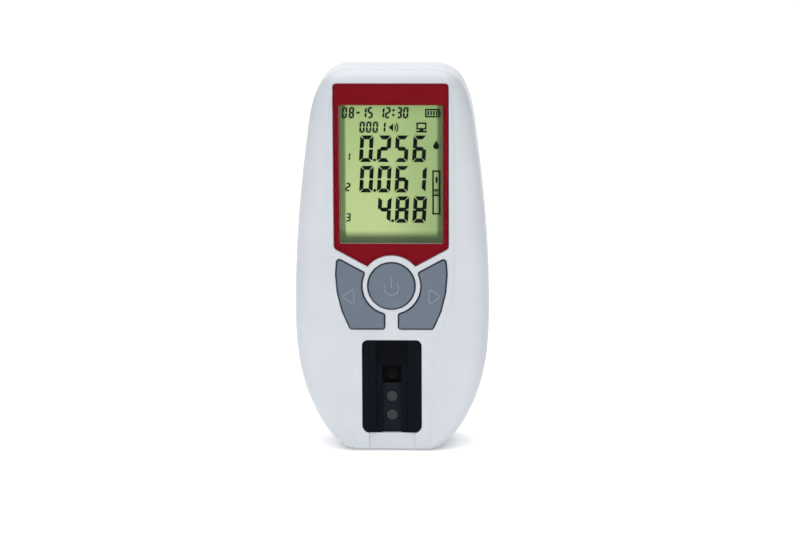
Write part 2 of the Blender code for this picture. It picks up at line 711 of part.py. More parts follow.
def build_rear_cover():
    """Rear half of the case, with its battery bay, door seat, screw wells and seam lip."""
    cover = cover_shell("rear_cover", REAR_Y, SEAM_Y + SEAM_GAP / 2.0, SHELL_WHITE)
    seat = DOOR_INNER_Y - FIT
    wide = DOOR_HALF_WIDTH + DOOR_SEAT
    low = (-wide, seat - DOOR_SEAT, DOOR_BASE - DOOR_SEAT)
    high = (wide, REAR_INNER_Y + EMBED, DOOR_TOP + DOOR_SEAT)
    add(cover, box("door_seat", low, high))
    half = BAY_HALF_WIDTH + BAY_WALL
    low = (-half, BAY_FLOOR_Y - BAY_WALL, BAY_BASE_HEIGHT - BAY_WALL)
    high = (half, seat - EMBED, BAY_TOP + BAY_WALL)
    add(cover, box("bay_walls", low, high))
    well_outside = SCREW_HEAD_RADIUS + FIT + WELL_WALL
    seat_y = SCREW_SEAT_Y
    for i, place in enumerate(CASE_POSTS, 1):
        add(cover, rod(f"rear_post_{i}", place, well_outside, seat_y - WALL, REAR_INNER_Y + EMBED))
        add(cover, rod(f"post_nose_{i}", place, POST_RADIUS - FIT, LIP_Y, seat_y - EMBED))
    for i, place in enumerate(CASE_POSTS, 1):
        cut(cover, rod(f"head_well_{i}", place, SCREW_HEAD_RADIUS + FIT, seat_y, REAR_Y + OUTSIDE))
        cut(cover, rod(f"rear_bore_{i}", place, SCREW_RADIUS + FIT, LIP_Y - OUTSIDE, seat_y + OUTSIDE))
    recess = rectangle(DOOR_HALF_WIDTH + FIT, DOOR_BASE - FIT, DOOR_TOP + FIT, DOOR_CORNER + FIT)
    cut(cover, prism("door_recess", recess, seat, REAR_Y + OUTSIDE))
    low = (-BAY_HALF_WIDTH, BAY_FLOOR_Y, BAY_BASE_HEIGHT)
    high = (BAY_HALF_WIDTH, REAR_Y + OUTSIDE, BAY_TOP)
    cut(cover, box("bay_room", low, high))
    slot_low = DOOR_BASE - TAB_REACH - 2.0 * FIT
    slot_depth = DOOR_INNER_Y - TAB_THICKNESS - 4.0 * FIT
    for name, side in (("left", -1), ("right", 1)):
        slot = (slot_depth, seat + FIT / 2.0, slot_low, BAY_BASE_HEIGHT + FIT)
        cut(cover, tab_box(f"{name}_tab_slot", side, *slot, grow=FIT))
    add(cover, seam_lip())


def build_battery_door():
    """Door over the batteries: ribbed thumb grip at its top, two tabs under the cover below."""
    outline = rectangle(DOOR_HALF_WIDTH, DOOR_BASE, DOOR_TOP, DOOR_CORNER)
    door = prism("battery_door", outline, DOOR_INNER_Y, REAR_Y, SHELL_WHITE, PARTS)
    grip_top = DOOR_TOP - DOOR_CORNER
    grip = rectangle(GRIP_WIDTH / 2.0, grip_top - GRIP_HEIGHT, grip_top, DOOR_CORNER)
    cut(door, prism("grip_dish", grip, REAR_Y - GRIP_DEPTH, REAR_Y + OUTSIDE))
    rib_half = GRIP_WIDTH / 2.0 - DOOR_CORNER
    for i in range(RIB_COUNT):
        z = grip_top - RIB_PITCH * (i + 0.75)
        low = (-rib_half, REAR_Y - GRIP_DEPTH - EMBED, z - RIB_PITCH / 4.0)
        high = (rib_half, REAR_Y - GRIP_DEPTH / 2.0, z + RIB_PITCH / 4.0)
        add(door, box(f"grip_rib_{i + 1}", low, high))
    tab_top = DOOR_INNER_Y - 2.0 * FIT
    tab_root = BAY_BASE_HEIGHT - FIT
    for name, side in (("left", -1), ("right", 1)):
        foot = (tab_top - TAB_THICKNESS, tab_top, DOOR_BASE - TAB_REACH, tab_root)
        add(door, tab_box(f"{name}_tab", side, *foot))
        neck = (tab_top - EMBED, DOOR_INNER_Y + EMBED, DOOR_BASE + FIT, tab_root)
        add(door, tab_box(f"{name}_tab_neck", side, *neck))
    move_origin(door, (0.0, REAR_Y, DOOR_BASE))
    return door


def move_origin(part, place):
    """Put a part's origin on its joint without moving the part."""
    part.data.transform(Matrix.Translation([-value for value in place]))
    part.location = place


def build_display():
    """Clear lens over a red printed film, then the display glass and its light guide in a frame."""
    inlay = offset(PANEL, -LENS_GAP)
    prism("display_lens", inlay, PLATEAU_Y, PLATEAU_Y + LENS_THICKNESS, PANEL_CLEAR, PARTS)
    film_y = PLATEAU_Y + LENS_THICKNESS + STACK_GAP
    film = prism("panel_film", inlay, film_y, film_y + FILM_THICKNESS, PANEL_RED, PARTS)
    cut(film, prism("film_window", WINDOW, film_y - OUTSIDE, film_y + OUTSIDE))
    glass_y = FRONT_INNER_Y + FIT
    wide = WINDOW_HALF_WIDTH + GLASS_MARGIN
    low_z, high_z = WINDOW_LOW - GLASS_MARGIN, WINDOW_HIGH + GLASS_MARGIN
    back_y = glass_y + GLASS_THICKNESS
    box("lcd_glass", (-wide, glass_y, low_z), (wide, back_y, high_z), LCD_GREEN, PARTS)
    guide_low = low_z + CONNECTOR_WIDTH + FIT
    guide_y = back_y + FIT
    guide = (-wide, guide_y, guide_low), (wide, guide_y + BACKLIGHT_THICKNESS, high_z)
    box("lcd_backlight", *guide, LIGHT_GUIDE, PARTS)
    end = wide - CONNECTOR_WIDTH
    strip = (-end, guide_y, low_z), (end, BOARD_Y - FIT, guide_low - FIT)
    box("lcd_connector", *strip, RUBBER, PARTS)
    rim = wide + FIT
    outer = rim + FRAME_WALL
    low = (-outer, glass_y, low_z - FIT - FRAME_WALL)
    high = (outer, BOARD_Y - FIT, high_z + FIT + FRAME_WALL)
    frame = box("lcd_frame", low, high, FRAME_GREY, PARTS)
    room_back = guide_y + BACKLIGHT_THICKNESS + FIT
    cut(frame, box("frame_room", (-rim, glass_y - OUTSIDE, low_z - FIT), (rim, room_back, high_z + FIT)))
    ledge = rim - FRAME_WALL
    low = (-ledge, glass_y, low_z - FIT)
    high = (ledge, BOARD_Y + OUTSIDE, high_z - FRAME_WALL)
    cut(frame, box("frame_back", low, high))


def key_cap(name, outline, centre, icons):
    """Moulded key: rounded cap in its hole, lip behind the cover, stem on the switch, raised icon."""
    front = PLATEAU_Y - KEY_RISE
    cap = offset(outline, -KEY_GAP)
    lip_y = FRONT_INNER_Y + FIT
    rounding_steps = 3
    rows = [[(x, lip_y + EMBED, z) for x, z in cap]]
    for step in range(rounding_steps + 1):
        angle = math.radians(90.0 * step / rounding_steps)
        inset = KEY_ROUNDING * (1.0 - math.cos(angle))
        y = front + KEY_ROUNDING * (1.0 - math.sin(angle))
        rows.append([(x, y, z) for x, z in offset(cap, -inset)])
    bm = bmesh.new()
    loops = loft(bm, rows)
    bm.faces.new(loops[0])
    bm.faces.new(loops[-1])
    key = new_part(name, bm, KEY_GREY)
    add(key, prism(f"{name}_lip", offset(outline, KEY_LIP), lip_y, lip_y + KEY_FLANGE))
    stem_end = SWITCH_FRONT_Y - KEY_STEM_GAP
    add(key, rod(f"{name}_stem", centre, KEY_STEM_RADIUS, lip_y + EMBED, stem_end))
    for i, icon in enumerate(icons, 1):
        add(key, prism(f"{name}_icon_{i}", icon, front - ICON_RISE, front + EMBED))
    move_origin(key, (centre[0], front, centre[1]))
    smooth(key)
    return key


def triangle_corners(side):
    """Corners of the triangle on a wing key, pointing outwards."""
    middle = POWER_KEY_HEIGHT - WING_ICON_DROP
    root_x = WING_ICON_TIP - WING_ICON_LENGTH
    right = [
        (WING_ICON_TIP, middle),
        (root_x, middle + WING_ICON_HEIGHT / 2.0),
        (root_x, middle - WING_ICON_HEIGHT / 2.0),
    ]
    return right if side > 0 else mirrored(right)


def build_keys():
    """Power key and the two wing keys."""
    icon_centre = (0.0, POWER_KEY_HEIGHT - POWER_ICON_DROP)
    start, end = 90.0 + POWER_ICON_GAP, 450.0 - POWER_ICON_GAP
    half = ICON_LINE / 2.0
    outer = arc(icon_centre, POWER_ICON_RADIUS + half, start, end, 20)
    inner = arc(icon_centre, POWER_ICON_RADIUS - half, start, end, 20)
    bar_top = icon_centre[1] + POWER_ICON_RADIUS + POWER_ICON_BAR / 2.0
    bar_base = bar_top - POWER_ICON_BAR
    bar = [(half, bar_base), (half, bar_top), (-half, bar_top), (-half, bar_base)]
    key_cap("power_key", circle(HUB, POWER_HOLE_RADIUS), HUB, [outer + inner[::-1], bar])
    for name, side in (("left", -1), ("right", 1)):
        outline = WING if side > 0 else mirrored(WING)
        centre = (side * WING_SWITCH_X, POWER_KEY_HEIGHT - WING_SWITCH_DROP)
        key = key_cap(f"{name}_key", outline, centre, [])
        corners = triangle_corners(side)
        band_outer = offset(corners, ICON_LINE / 2.0)
        band_inner = offset(corners, -ICON_LINE / 2.0)
        front = PLATEAU_Y - KEY_RISE
        icon = prism(f"{name}_triangle", band_outer, front - ICON_RISE, front + EMBED)
        cut(icon, prism(f"{name}_triangle_hole", band_inner, front - OUTSIDE, front + OUTSIDE))
        add(key, icon)


def build_switches():
    """Push switch under each key, with the plunger that its key presses."""
    centres = {
        "power": HUB,
        "left": (-WING_SWITCH_X, POWER_KEY_HEIGHT - WING_SWITCH_DROP),
        "right": (WING_SWITCH_X, POWER_KEY_HEIGHT - WING_SWITCH_DROP),
    }
    front = SWITCH_FRONT_Y
    half = SWITCH_SIDE / 2.0
    for name, (x, z) in centres.items():
        low, high = (x - half, front, z - half), (x + half, BOARD_Y - FIT, z + half)
        body = box(f"{name}_switch", low, high, CHIP_BLACK, PARTS)
        well = front + PLUNGER_DEPTH + KEY_TRAVEL + FIT
        cut(body, rod(f"{name}_switch_well", (x, z), PLUNGER_RADIUS + FIT, front - OUTSIDE, well))
        tip = PLUNGER_TIP_Y
        end = front + PLUNGER_DEPTH
        plunger = rod(f"{name}_plunger", (x, z), PLUNGER_RADIUS, tip, end, FRAME_GREY, PARTS)
        move_origin(plunger, (x, tip, z))


def build_strip_bay():
    """Black strip holder with its lane, hood, pit and optical windows, and the optics behind it."""
    front = PLATEAU_Y
    back = front + HOLDER_DEPTH
    top = HOLDER_TOP_HEIGHT
    holder = prism("strip_holder", offset(HOLDER_HOLE, -HOLDER_GAP), front, back, HOLDER_BLACK, PARTS)
    lip_y = FRONT_INNER_Y + FIT
    add(holder, prism("holder_lip", offset(HOLDER_HOLE, HOLDER_LIP), lip_y, back))
    below = HOLDER_BASE_HEIGHT - OUTSIDE
    groove_top = top - GROOVE_TOP_MARGIN
    low = (-GROOVE_HALF_WIDTH, front - OUTSIDE, below)
    cut(holder, box("strip_groove", low, (GROOVE_HALF_WIDTH, front + GROOVE_DEPTH, groove_top)))
    hood_base = groove_top - HOOD_LENGTH
    low = (-LANE_HALF_WIDTH, front - OUTSIDE, below)
    cut(holder, box("strip_lane", low, (LANE_HALF_WIDTH, front + LANE_DEPTH, hood_base)))
    low = (-LANE_HALF_WIDTH, front + GROOVE_DEPTH + HOOD_THICKNESS, hood_base - OUTSIDE)
    high = (LANE_HALF_WIDTH, front + LANE_DEPTH, groove_top - HOOD_END_WALL)
    cut(holder, box("hood_tunnel", low, high))
    low = (-LANE_HALF_WIDTH, front + GROOVE_DEPTH + HOOD_THICKNESS, hood_base - PIT_LENGTH)
    cut(holder, box("eye_pit", low, (LANE_HALF_WIDTH, front + PIT_DEPTH, hood_base + PIT_REACH)))
    seat = back - EYE_THICKNESS - FIT
    for i, place in enumerate(EYES, 1):
        cut(holder, rod(f"eye_hole_{i}", place, EYE_RADIUS, front, back + OUTSIDE, steps=24))
        wide = EYE_RADIUS + EYE_SEAT + FIT
        cut(holder, rod(f"eye_seat_{i}", place, wide, seat, back + OUTSIDE, steps=24))
        start = seat + FIT
        end = start + EYE_THICKNESS
        window = rod(f"optic_window_{i}", place, EYE_RADIUS + EYE_SEAT, start, end, LENS_SMOKE, PARTS, 24)
        if place is not EYES[-1]:
            tip = front + LANE_DEPTH + EYE_SINK
            add(window, rod(f"window_nose_{i}", place, EYE_RADIUS - HOLDER_GAP, tip, start + FIT, steps=24))
    block_front = back + FIT
    block_back = BOARD_Y - FIT
    low = (-OPTICS_HALF_WIDTH, block_front, EYES[0][1] - OPTICS_MARGIN)
    high = (OPTICS_HALF_WIDTH, block_back, EYES[-1][1] + OPTICS_MARGIN)
    block = box("optics_block", low, high, CHIP_BLACK, PARTS)
    half = SENSOR_SIDE / 2.0
    for i, place in enumerate(EYES, 1):
        cut(block, rod(f"light_bore_{i}", place, SENSOR_BORE, back, BOARD_Y))
        low = (place[0] - half, block_back - SENSOR_HEIGHT, place[1] - half)
        high = (place[0] + half, block_back, place[1] + half)
        box(f"light_sensor_{i}", low, high, LIGHT_GUIDE, PARTS)


def build_board():
    """Circuit board and the parts soldered to it."""
    board = prism("main_board", offset(OUTLINE, -BOARD_INSET), BOARD_Y, BOARD_BACK_Y, BOARD_GREEN, PARTS)
    top = BODY_LENGTH - BOARD_TOP_DROP
    low = (-BODY_HALF_WIDTH, BOARD_Y - OUTSIDE, top)
    cut(board, box("board_top_trim", low, (BODY_HALF_WIDTH, BOARD_BACK_Y + OUTSIDE, BODY_LENGTH)))
    for i, place in enumerate(CASE_POSTS[2:], 1):
        notch = POST_RADIUS + FIT
        cut(board, rod(f"board_notch_{i}", place, notch, BOARD_Y - OUTSIDE, BOARD_BACK_Y + OUTSIDE))
    for i, place in enumerate(BOARD_PLACES, 1):
        bore = BOARD_SCREW_RADIUS + FIT
        cut(board, rod(f"board_hole_{i}", place, bore, BOARD_Y - OUTSIDE, BOARD_BACK_Y + OUTSIDE))
    back = BOARD_BACK_Y + FIT
    half = CHIP_SIDE / 2.0
    low = (-half, back, POWER_KEY_HEIGHT - half)
    box("processor_chip", low, (half, back + CHIP_THICKNESS, POWER_KEY_HEIGHT + half), CHIP_BLACK, PARTS)
    width, depth, height = RADIO_SIZE
    base = BODY_LENGTH - RADIO_DROP - height / 2.0
    low = (-width / 2.0, back, base)
    box("radio_module", low, (width / 2.0, back + depth, base + height), STEEL, PARTS)
    place = (0.0, base - BUZZER_GAP - BUZZER_RADIUS)
    rod("buzzer", place, BUZZER_RADIUS, back, back + BUZZER_THICKNESS, CHIP_BLACK, PARTS, 24)
    mouth = -PORT_X + FIT
    half = USB_WIDTH / 2.0
    socket_back = BOARD_Y - FIT
    low = (mouth, socket_back - USB_THICKNESS, USB_HEIGHT - half)
    socket = box("usb_socket", low, (mouth + USB_LENGTH, socket_back, USB_HEIGHT + half), STEEL, PARTS)
    low = (mouth - OUTSIDE, socket_back - USB_THICKNESS + USB_WALL, USB_HEIGHT - half + USB_WALL)
    high = (mouth + USB_LENGTH - USB_WALL, socket_back - USB_WALL, USB_HEIGHT + half - USB_WALL)
    cut(socket, box("socket_room", low, high))


def screw(name, place, seat_y, radius, length, head_radius, head):
    """Pan-head screw driven towards -Y, with a cross in its head."""
    part = rod(name, place, radius, seat_y - length, seat_y + EMBED, STEEL, PARTS, 12)
    add(part, rod(f"{name}_head", place, head_radius, seat_y, seat_y + head))
    x, z = place
    half, reach = CROSS_WIDTH / 2.0, head_radius * 0.6
    bottom, above = seat_y + head - CROSS_DEPTH, seat_y + head + OUTSIDE
    cut(part, box(f"{name}_slot_a", (x - half, bottom, z - reach), (x + half, above, z + reach)))
    cut(part, box(f"{name}_slot_b", (x - reach, bottom, z - half), (x + reach, above, z + half)))


def build_screws():
    """Four screws that close the case and four that hold the board."""
    for i, place in enumerate(CASE_POSTS, 1):
        seat = SCREW_SEAT_Y + FIT
        length = SCREW_LENGTH - 2.0 * FIT
        screw(f"case_screw_{i}", place, seat, SCREW_RADIUS, length, SCREW_HEAD_RADIUS, SCREW_HEAD)
    for i, place in enumerate(BOARD_PLACES, 1):
        seat = BOARD_BACK_Y + FIT
        length = BOARD_SCREW_LENGTH - FIT
        head = BOARD_SCREW_HEAD_RADIUS, BOARD_SCREW_HEAD
        screw(f"board_screw_{i}", place, seat, BOARD_SCREW_RADIUS, length, *head)


def upright(name, place, stations, material):
    """Turned part along Z: radii at heights, from the top down."""
    bm = bmesh.new()
    corners = [bm.verts.new((radius, 0.0, height)) for radius, height in stations]
    for a, b in zip(corners, corners[1:]):
        bm.edges.new((a, b))
    mesh = bpy.data.meshes.new(name)
    bm.to_mesh(mesh)
    bm.free()
    part = bpy.data.objects.new(name, mesh)
    PARTS.objects.link(part)
    own = material.copy()
    own.name = f"{name}_{material.name}"
    mesh.materials.append(own)
    turn = part.modifiers.new("turn", "SCREW")
    turn.steps = 24
    turn.render_steps = 24
    turn.use_merge_vertices = True
    turn.merge_threshold = 0.01 * MM
    turn.use_smooth_shade = False
    part.location = place
    return part


def spring(name, x, base_z):
    """Coil spring along Z on a cell's flat end."""
    curve = bpy.data.curves.new(name, "CURVE")
    curve.dimensions = "3D"
    curve.bevel_depth = SPRING_WIRE
    curve.bevel_resolution = 2
    curve.use_fill_caps = True
    spline = curve.splines.new("POLY")
    count = SPRING_TURNS * SPRING_POINTS
    spline.points.add(count)
    climb = SPRING_ROOM - 2.0 * SPRING_WIRE - 2.0 * FIT
    for i in range(count + 1):
        angle = 2.0 * math.pi * i / SPRING_POINTS
        z = base_z + FIT + SPRING_WIRE + climb * i / count
        spot = (x + SPRING_RADIUS * math.cos(angle), CELL_Y + SPRING_RADIUS * math.sin(angle), z)
        spline.points[i].co = (*spot, 1.0)
    part = bpy.data.objects.new(name, curve)
    PARTS.objects.link(part)
    own = STEEL.copy()
    own.name = f"{name}_{STEEL.name}"
    curve.materials.append(own)


def build_batteries():
    """Three cells in series, with a spring at each flat end and plates at both ends of the bay."""
    pitch = 2.0 * CELL_RADIUS + CELL_GAP
    centres = [pitch * (i - (CELL_COUNT - 1) / 2.0) for i in range(CELL_COUNT)]
    low_end = BAY_BASE_HEIGHT + FIT + PLATE_THICKNESS
    high_end = BAY_TOP - FIT - PLATE_THICKNESS
    can = CELL_LENGTH - CELL_NUB
    for i, x in enumerate(centres):
        nub_up = i % 2 == 0
        stations = [
            (0.0, CELL_LENGTH),
            (CELL_NUB_RADIUS, CELL_LENGTH),
            (CELL_NUB_RADIUS, can),
            (CELL_RADIUS, can),
            (CELL_RADIUS, 0.0),
            (0.0, 0.0),
        ]
        if not nub_up:
            stations = [(radius, CELL_LENGTH - height) for radius, height in reversed(stations)]
        base = low_end + SPRING_ROOM if nub_up else high_end - SPRING_ROOM - CELL_LENGTH
        upright(f"battery_cell_{i + 1}", (x, CELL_Y, base), stations, CELL_WRAP)
        spring(f"cell_spring_{i + 1}", x, low_end if nub_up else high_end - SPRING_ROOM)
    half = CELL_RADIUS - CELL_GAP
    links = {
        "contact_plate_1": (centres[0], centres[1], BAY_BASE_HEIGHT + FIT),
        "contact_plate_2": (centres[2], centres[2], BAY_BASE_HEIGHT + FIT),
        "contact_plate_3": (centres[0], centres[0], high_end),
        "contact_plate_4": (centres[1], centres[2], high_end),
    }
    for name, (first, last, z) in links.items():
        low = (first - half, CELL_Y - PLATE_HALF_DEPTH, z)
        box(name, low, (last + half, CELL_Y + PLATE_HALF_DEPTH, z + PLATE_THICKNESS), GOLD_TIN, PARTS)


build_front_cover()
build_rear_cover()
build_battery_door()
build_display()
build_keys()
build_switches()
build_strip_bay()
build_board()
build_screws()
build_batteries()
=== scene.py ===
"""Hand-held renal function meter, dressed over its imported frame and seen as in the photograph."""

import math

import bmesh
import bpy
from mathutils import Matrix, Vector
from mathutils.geometry import interpolate_bezier


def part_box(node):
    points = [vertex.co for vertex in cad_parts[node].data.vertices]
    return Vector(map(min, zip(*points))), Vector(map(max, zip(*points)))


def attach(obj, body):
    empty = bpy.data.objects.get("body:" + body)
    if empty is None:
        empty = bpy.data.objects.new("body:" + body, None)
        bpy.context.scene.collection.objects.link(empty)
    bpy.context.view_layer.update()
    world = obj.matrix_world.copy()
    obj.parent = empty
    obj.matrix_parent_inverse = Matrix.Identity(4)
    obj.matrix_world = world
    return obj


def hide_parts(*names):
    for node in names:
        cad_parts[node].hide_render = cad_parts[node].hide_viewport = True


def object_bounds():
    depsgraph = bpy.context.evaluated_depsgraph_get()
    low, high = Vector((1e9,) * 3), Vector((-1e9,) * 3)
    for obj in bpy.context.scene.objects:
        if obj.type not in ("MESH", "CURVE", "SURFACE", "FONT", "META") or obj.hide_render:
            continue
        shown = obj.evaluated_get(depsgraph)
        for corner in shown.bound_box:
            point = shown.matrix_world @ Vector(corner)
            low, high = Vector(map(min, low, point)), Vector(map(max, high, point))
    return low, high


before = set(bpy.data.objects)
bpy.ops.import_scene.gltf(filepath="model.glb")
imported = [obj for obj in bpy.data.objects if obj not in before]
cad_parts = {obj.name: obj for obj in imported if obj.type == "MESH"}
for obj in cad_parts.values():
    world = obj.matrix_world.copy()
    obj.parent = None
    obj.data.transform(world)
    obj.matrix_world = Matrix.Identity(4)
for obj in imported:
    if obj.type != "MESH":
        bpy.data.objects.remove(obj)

CAD_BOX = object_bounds()
MM = 0.001

# Camera
# The photograph's viewpoint, about a metre away and a little above the meter.
CAMERA_PLACE = Vector((40.6, -993.2, 265.1)) * MM
CAMERA_TARGET = Vector((3.0, -14.0, 65.77)) * MM
CAMERA_LENS = 130.5
CAMERA_ROLL = -0.26  # degrees
camera_data = bpy.data.cameras.new("camera")
camera_data.lens = CAMERA_LENS
camera_data.sensor_width = 36.0
camera_data.clip_start = 0.01
camera = bpy.data.objects.new("camera", camera_data)
bpy.context.scene.collection.objects.link(camera)
aim = (CAMERA_TARGET - CAMERA_PLACE).to_track_quat("-Z", "Y").to_matrix()
roll = Matrix.Rotation(math.radians(CAMERA_ROLL), 3, "Z")
camera.matrix_world = Matrix.Translation(CAMERA_PLACE) @ (aim @ roll).to_4x4()
bpy.context.scene.camera = camera
bpy.context.scene.view_settings.view_transform = "Standard"


# Light and floor
# A white room that is dimmer at its sides, and three soft lamps. The white floor keeps the meter's
# contact shadow, and its far sides throw back less light, so that the case's rims shade off.
def link(obj):
    bpy.context.scene.collection.objects.link(obj)
    return obj


def srgb(colour):
    """Linear colour of a screen colour given in 0 to 255."""
    shares = (channel / 255.0 for channel in colour)
    return tuple(c / 12.92 if c <= 0.04045 else ((c + 0.055) / 1.055) ** 2.4 for c in shares)


class Term:
    """A value in a shader, which adds, subtracts and multiplies."""

    def __init__(self, finish, socket):
        self.finish = finish
        self.socket = socket

    def combine(self, operation, first, second):
        return self.finish.node("ShaderNodeMath", {"operation": operation}, {0: first, 1: second})

    def __add__(self, other):
        return self.combine("ADD", self, other)

    def __radd__(self, other):
        return self.combine("ADD", other, self)

    def __rsub__(self, other):
        return self.combine("SUBTRACT", other, self)

    def __mul__(self, other):
        return self.combine("MULTIPLY", self, other)

    def clamp(self):
        """Kept between 0 and 1."""
        settings = {"operation": "ADD", "use_clamp": True}
        return self.finish.node("ShaderNodeMath", settings, {0: self, 1: 0.0})

    def ramp(self, low, high):
        """From 0 at one value to 1 at another, with soft ends."""
        inputs = {"Value": self, "From Min": low, "From Max": high}
        return self.finish.node("ShaderNodeMapRange", {"interpolation_type": "SMOOTHSTEP"}, inputs)


class Finish:
    """One material with a Principled shader, whose inputs are fed by nodes or by plain values."""

    def __init__(self, name, colour, roughness, values=None):
        self.material = bpy.data.materials.new(name)
        self.material.use_nodes = True
        self.tree = self.material.node_tree
        self.shader = self.tree.nodes["Principled BSDF"]
        self.shader.inputs["Base Color"].default_value = (*srgb(colour), 1.0)
        self.shader.inputs["Roughness"].default_value = roughness
        for key, value in (values or {}).items():
            self.shader.inputs[key].default_value = value

    def connect(self, socket, value):
        if isinstance(value, Term):
            self.tree.links.new(value.socket, socket)
        else:
            socket.default_value = value

    def node(self, kind, settings, inputs, output=0):
        """New node with its settings, then its inputs, given by name or number; its chosen output."""
        node = self.tree.nodes.new(kind)
        for key, value in settings.items():
            setattr(node, key, value)
        for key, value in inputs.items():
            self.connect(node.inputs[key], value)
        return Term(self, node.outputs[output])

    def place(self):
        return self.node("ShaderNodeTexCoord", {}, {}, "Object")

    def axis(self, name):
        """One object coordinate, in metres."""
        return self.node("ShaderNodeSeparateXYZ", {}, {"Vector": self.place()}, name)

    def noise(self, scale, detail=2.0):
        inputs = {"Vector": self.place(), "Scale": scale, "Detail": detail}
        return self.node("ShaderNodeTexNoise", {}, inputs, "Fac")

    def mix(self, share, first, second):
        """Colour between two others, each a Term or a screen colour."""
        colours = [value if isinstance(value, Term) else (*srgb(value), 1.0) for value in (first, second)]
        inputs = {0: share, 6: colours[0], 7: colours[1]}
        return self.node("ShaderNodeMix", {"data_type": "RGBA"}, inputs, 2)

    def feed(self, name, term):
        self.connect(self.shader.inputs[name], term)

    def bump(self, height, distance, strength=1.0):
        inputs = {"Height": height, "Distance": distance, "Strength": strength}
        self.feed("Normal", self.node("ShaderNodeBump", {}, inputs))


GRAIN_SCALE = 9000.0
CLOUD_SCALE = 70.0
BUMP_HEIGHT = 0.01 * MM
GLOSS_SPREAD = 0.04


def moulding(name, colour, roughness, grain=0.3, shine=0.5):
    """Moulded plastic: fine grain in its surface and slow changes in its gloss and shade."""
    finish = Finish(name, colour, roughness, {"Specular IOR Level": shine})
    grains = finish.noise(GRAIN_SCALE, 3.0)
    clouds = finish.noise(CLOUD_SCALE)
    darker = tuple(channel * 0.985 for channel in colour)
    finish.feed("Base Color", finish.mix(clouds.ramp(0.35, 0.65), darker, colour))
    finish.feed("Roughness", roughness - GLOSS_SPREAD / 2.0 + clouds * GLOSS_SPREAD)
    finish.bump(grains, BUMP_HEIGHT, grain)
    return finish.material


def metal(name, colour, roughness):
    """Plated metal with faint draw marks along X."""
    finish = Finish(name, colour, roughness, {"Metallic": 1.0})
    inputs = {"Vector": finish.place(), "Scale": (300.0, 6000.0, 6000.0)}
    stretched = finish.node("ShaderNodeMapping", {}, inputs)
    marks = finish.node("ShaderNodeTexNoise", {}, {"Vector": stretched, "Scale": 1.0}, "Fac")
    finish.feed("Roughness", roughness - 0.05 + marks * 0.1)
    finish.bump(marks, BUMP_HEIGHT, 0.3)
    return finish.material


FLOOR_SIZE = 6.0
floor_bm = bmesh.new()
bmesh.ops.create_grid(floor_bm, x_segments=1, y_segments=1, size=FLOOR_SIZE)
floor_mesh = bpy.data.meshes.new("floor")
floor_bm.to_mesh(floor_mesh)
floor_bm.free()
floor = link(bpy.data.objects.new("floor", floor_mesh))
FLOOR_WHITE = (252, 252, 252)
FLOOR_ASIDE = (222, 222, 222)  # what the floor throws back onto the meter's sides
floor_values = {"Specular IOR Level": 0.0, "Emission Strength": 0.2}
floor_finish = Finish("floor_white", FLOOR_WHITE, 0.9, floor_values)
floor_x = floor_finish.axis("X")
far_aside = (floor_x * floor_x).ramp((40.0 * MM) ** 2, (120.0 * MM) ** 2)
bounced = floor_finish.node("ShaderNodeLightPath", {}, {}, "Is Diffuse Ray")
for socket in ("Base Color", "Emission Color"):
    floor_finish.feed(socket, floor_finish.mix(far_aside * bounced, FLOOR_WHITE, FLOOR_ASIDE))
floor_mesh.materials.append(floor_finish.material)

world = bpy.data.worlds.new("room")
world.use_nodes = True
bpy.context.scene.world = world
room = world.node_tree


def room_node(kind, settings, inputs):
    """New node of the room's light, with its settings and its linked or plain inputs."""
    node = room.nodes.new(kind)
    for key, value in settings.items():
        setattr(node, key, value)
    for key, value in inputs.items():
        if isinstance(value, bpy.types.NodeSocket):
            room.links.new(value, node.inputs[key])
        else:
            node.inputs[key].default_value = value
    return node.outputs


rays = room_node("ShaderNodeLightPath", {}, {})
towards = room_node("ShaderNodeTexCoord", {}, {})["Generated"]
sideways = room_node("ShaderNodeSeparateXYZ", {}, {"Vector": towards})["X"]
sideways = room_node("ShaderNodeMath", {"operation": "ABSOLUTE"}, {0: sideways})[0]
dimming = {"Value": sideways, "From Min": 0.25, "From Max": 0.85, "To Min": 0.42, "To Max": 0.02}
level = room_node("ShaderNodeMapRange", {}, dimming)[0]
gain = room_node("ShaderNodeMath", {"operation": "ADD"}, {0: rays["Is Glossy Ray"], 1: 1.0})[0]
level = room_node("ShaderNodeMath", {"operation": "MULTIPLY"}, {0: level, 1: gain})[0]
for ray in ("Is Camera Ray", "Is Transmission Ray"):
    level = room_node("ShaderNodeMath", {"operation": "MAXIMUM"}, {0: level, 1: rays[ray]})[0]
room.links.new(level, room.nodes["Background"].inputs["Strength"])
room.nodes["Background"].inputs["Color"].default_value = (1.0, 1.0, 1.0, 1.0)


def sun(name, towards, strength, softness):
    """Distant soft lamp that shines in a direction."""
    data = bpy.data.lights.new(name, "SUN")
    data.energy = strength
    data.angle = math.radians(softness)
    lamp = link(bpy.data.objects.new(name, data))
    lamp.rotation_euler = Vector(towards).to_track_quat("-Z", "Y").to_euler()


sun("high_light", (0.06, 0.08, -1.0), 2.9, 90.0)
sun("front_light", (0.1, 1.0, -0.1), 0.55, 40.0)
sun("rear_light", (0.15, -1.0, -0.1), 0.12, 40.0)


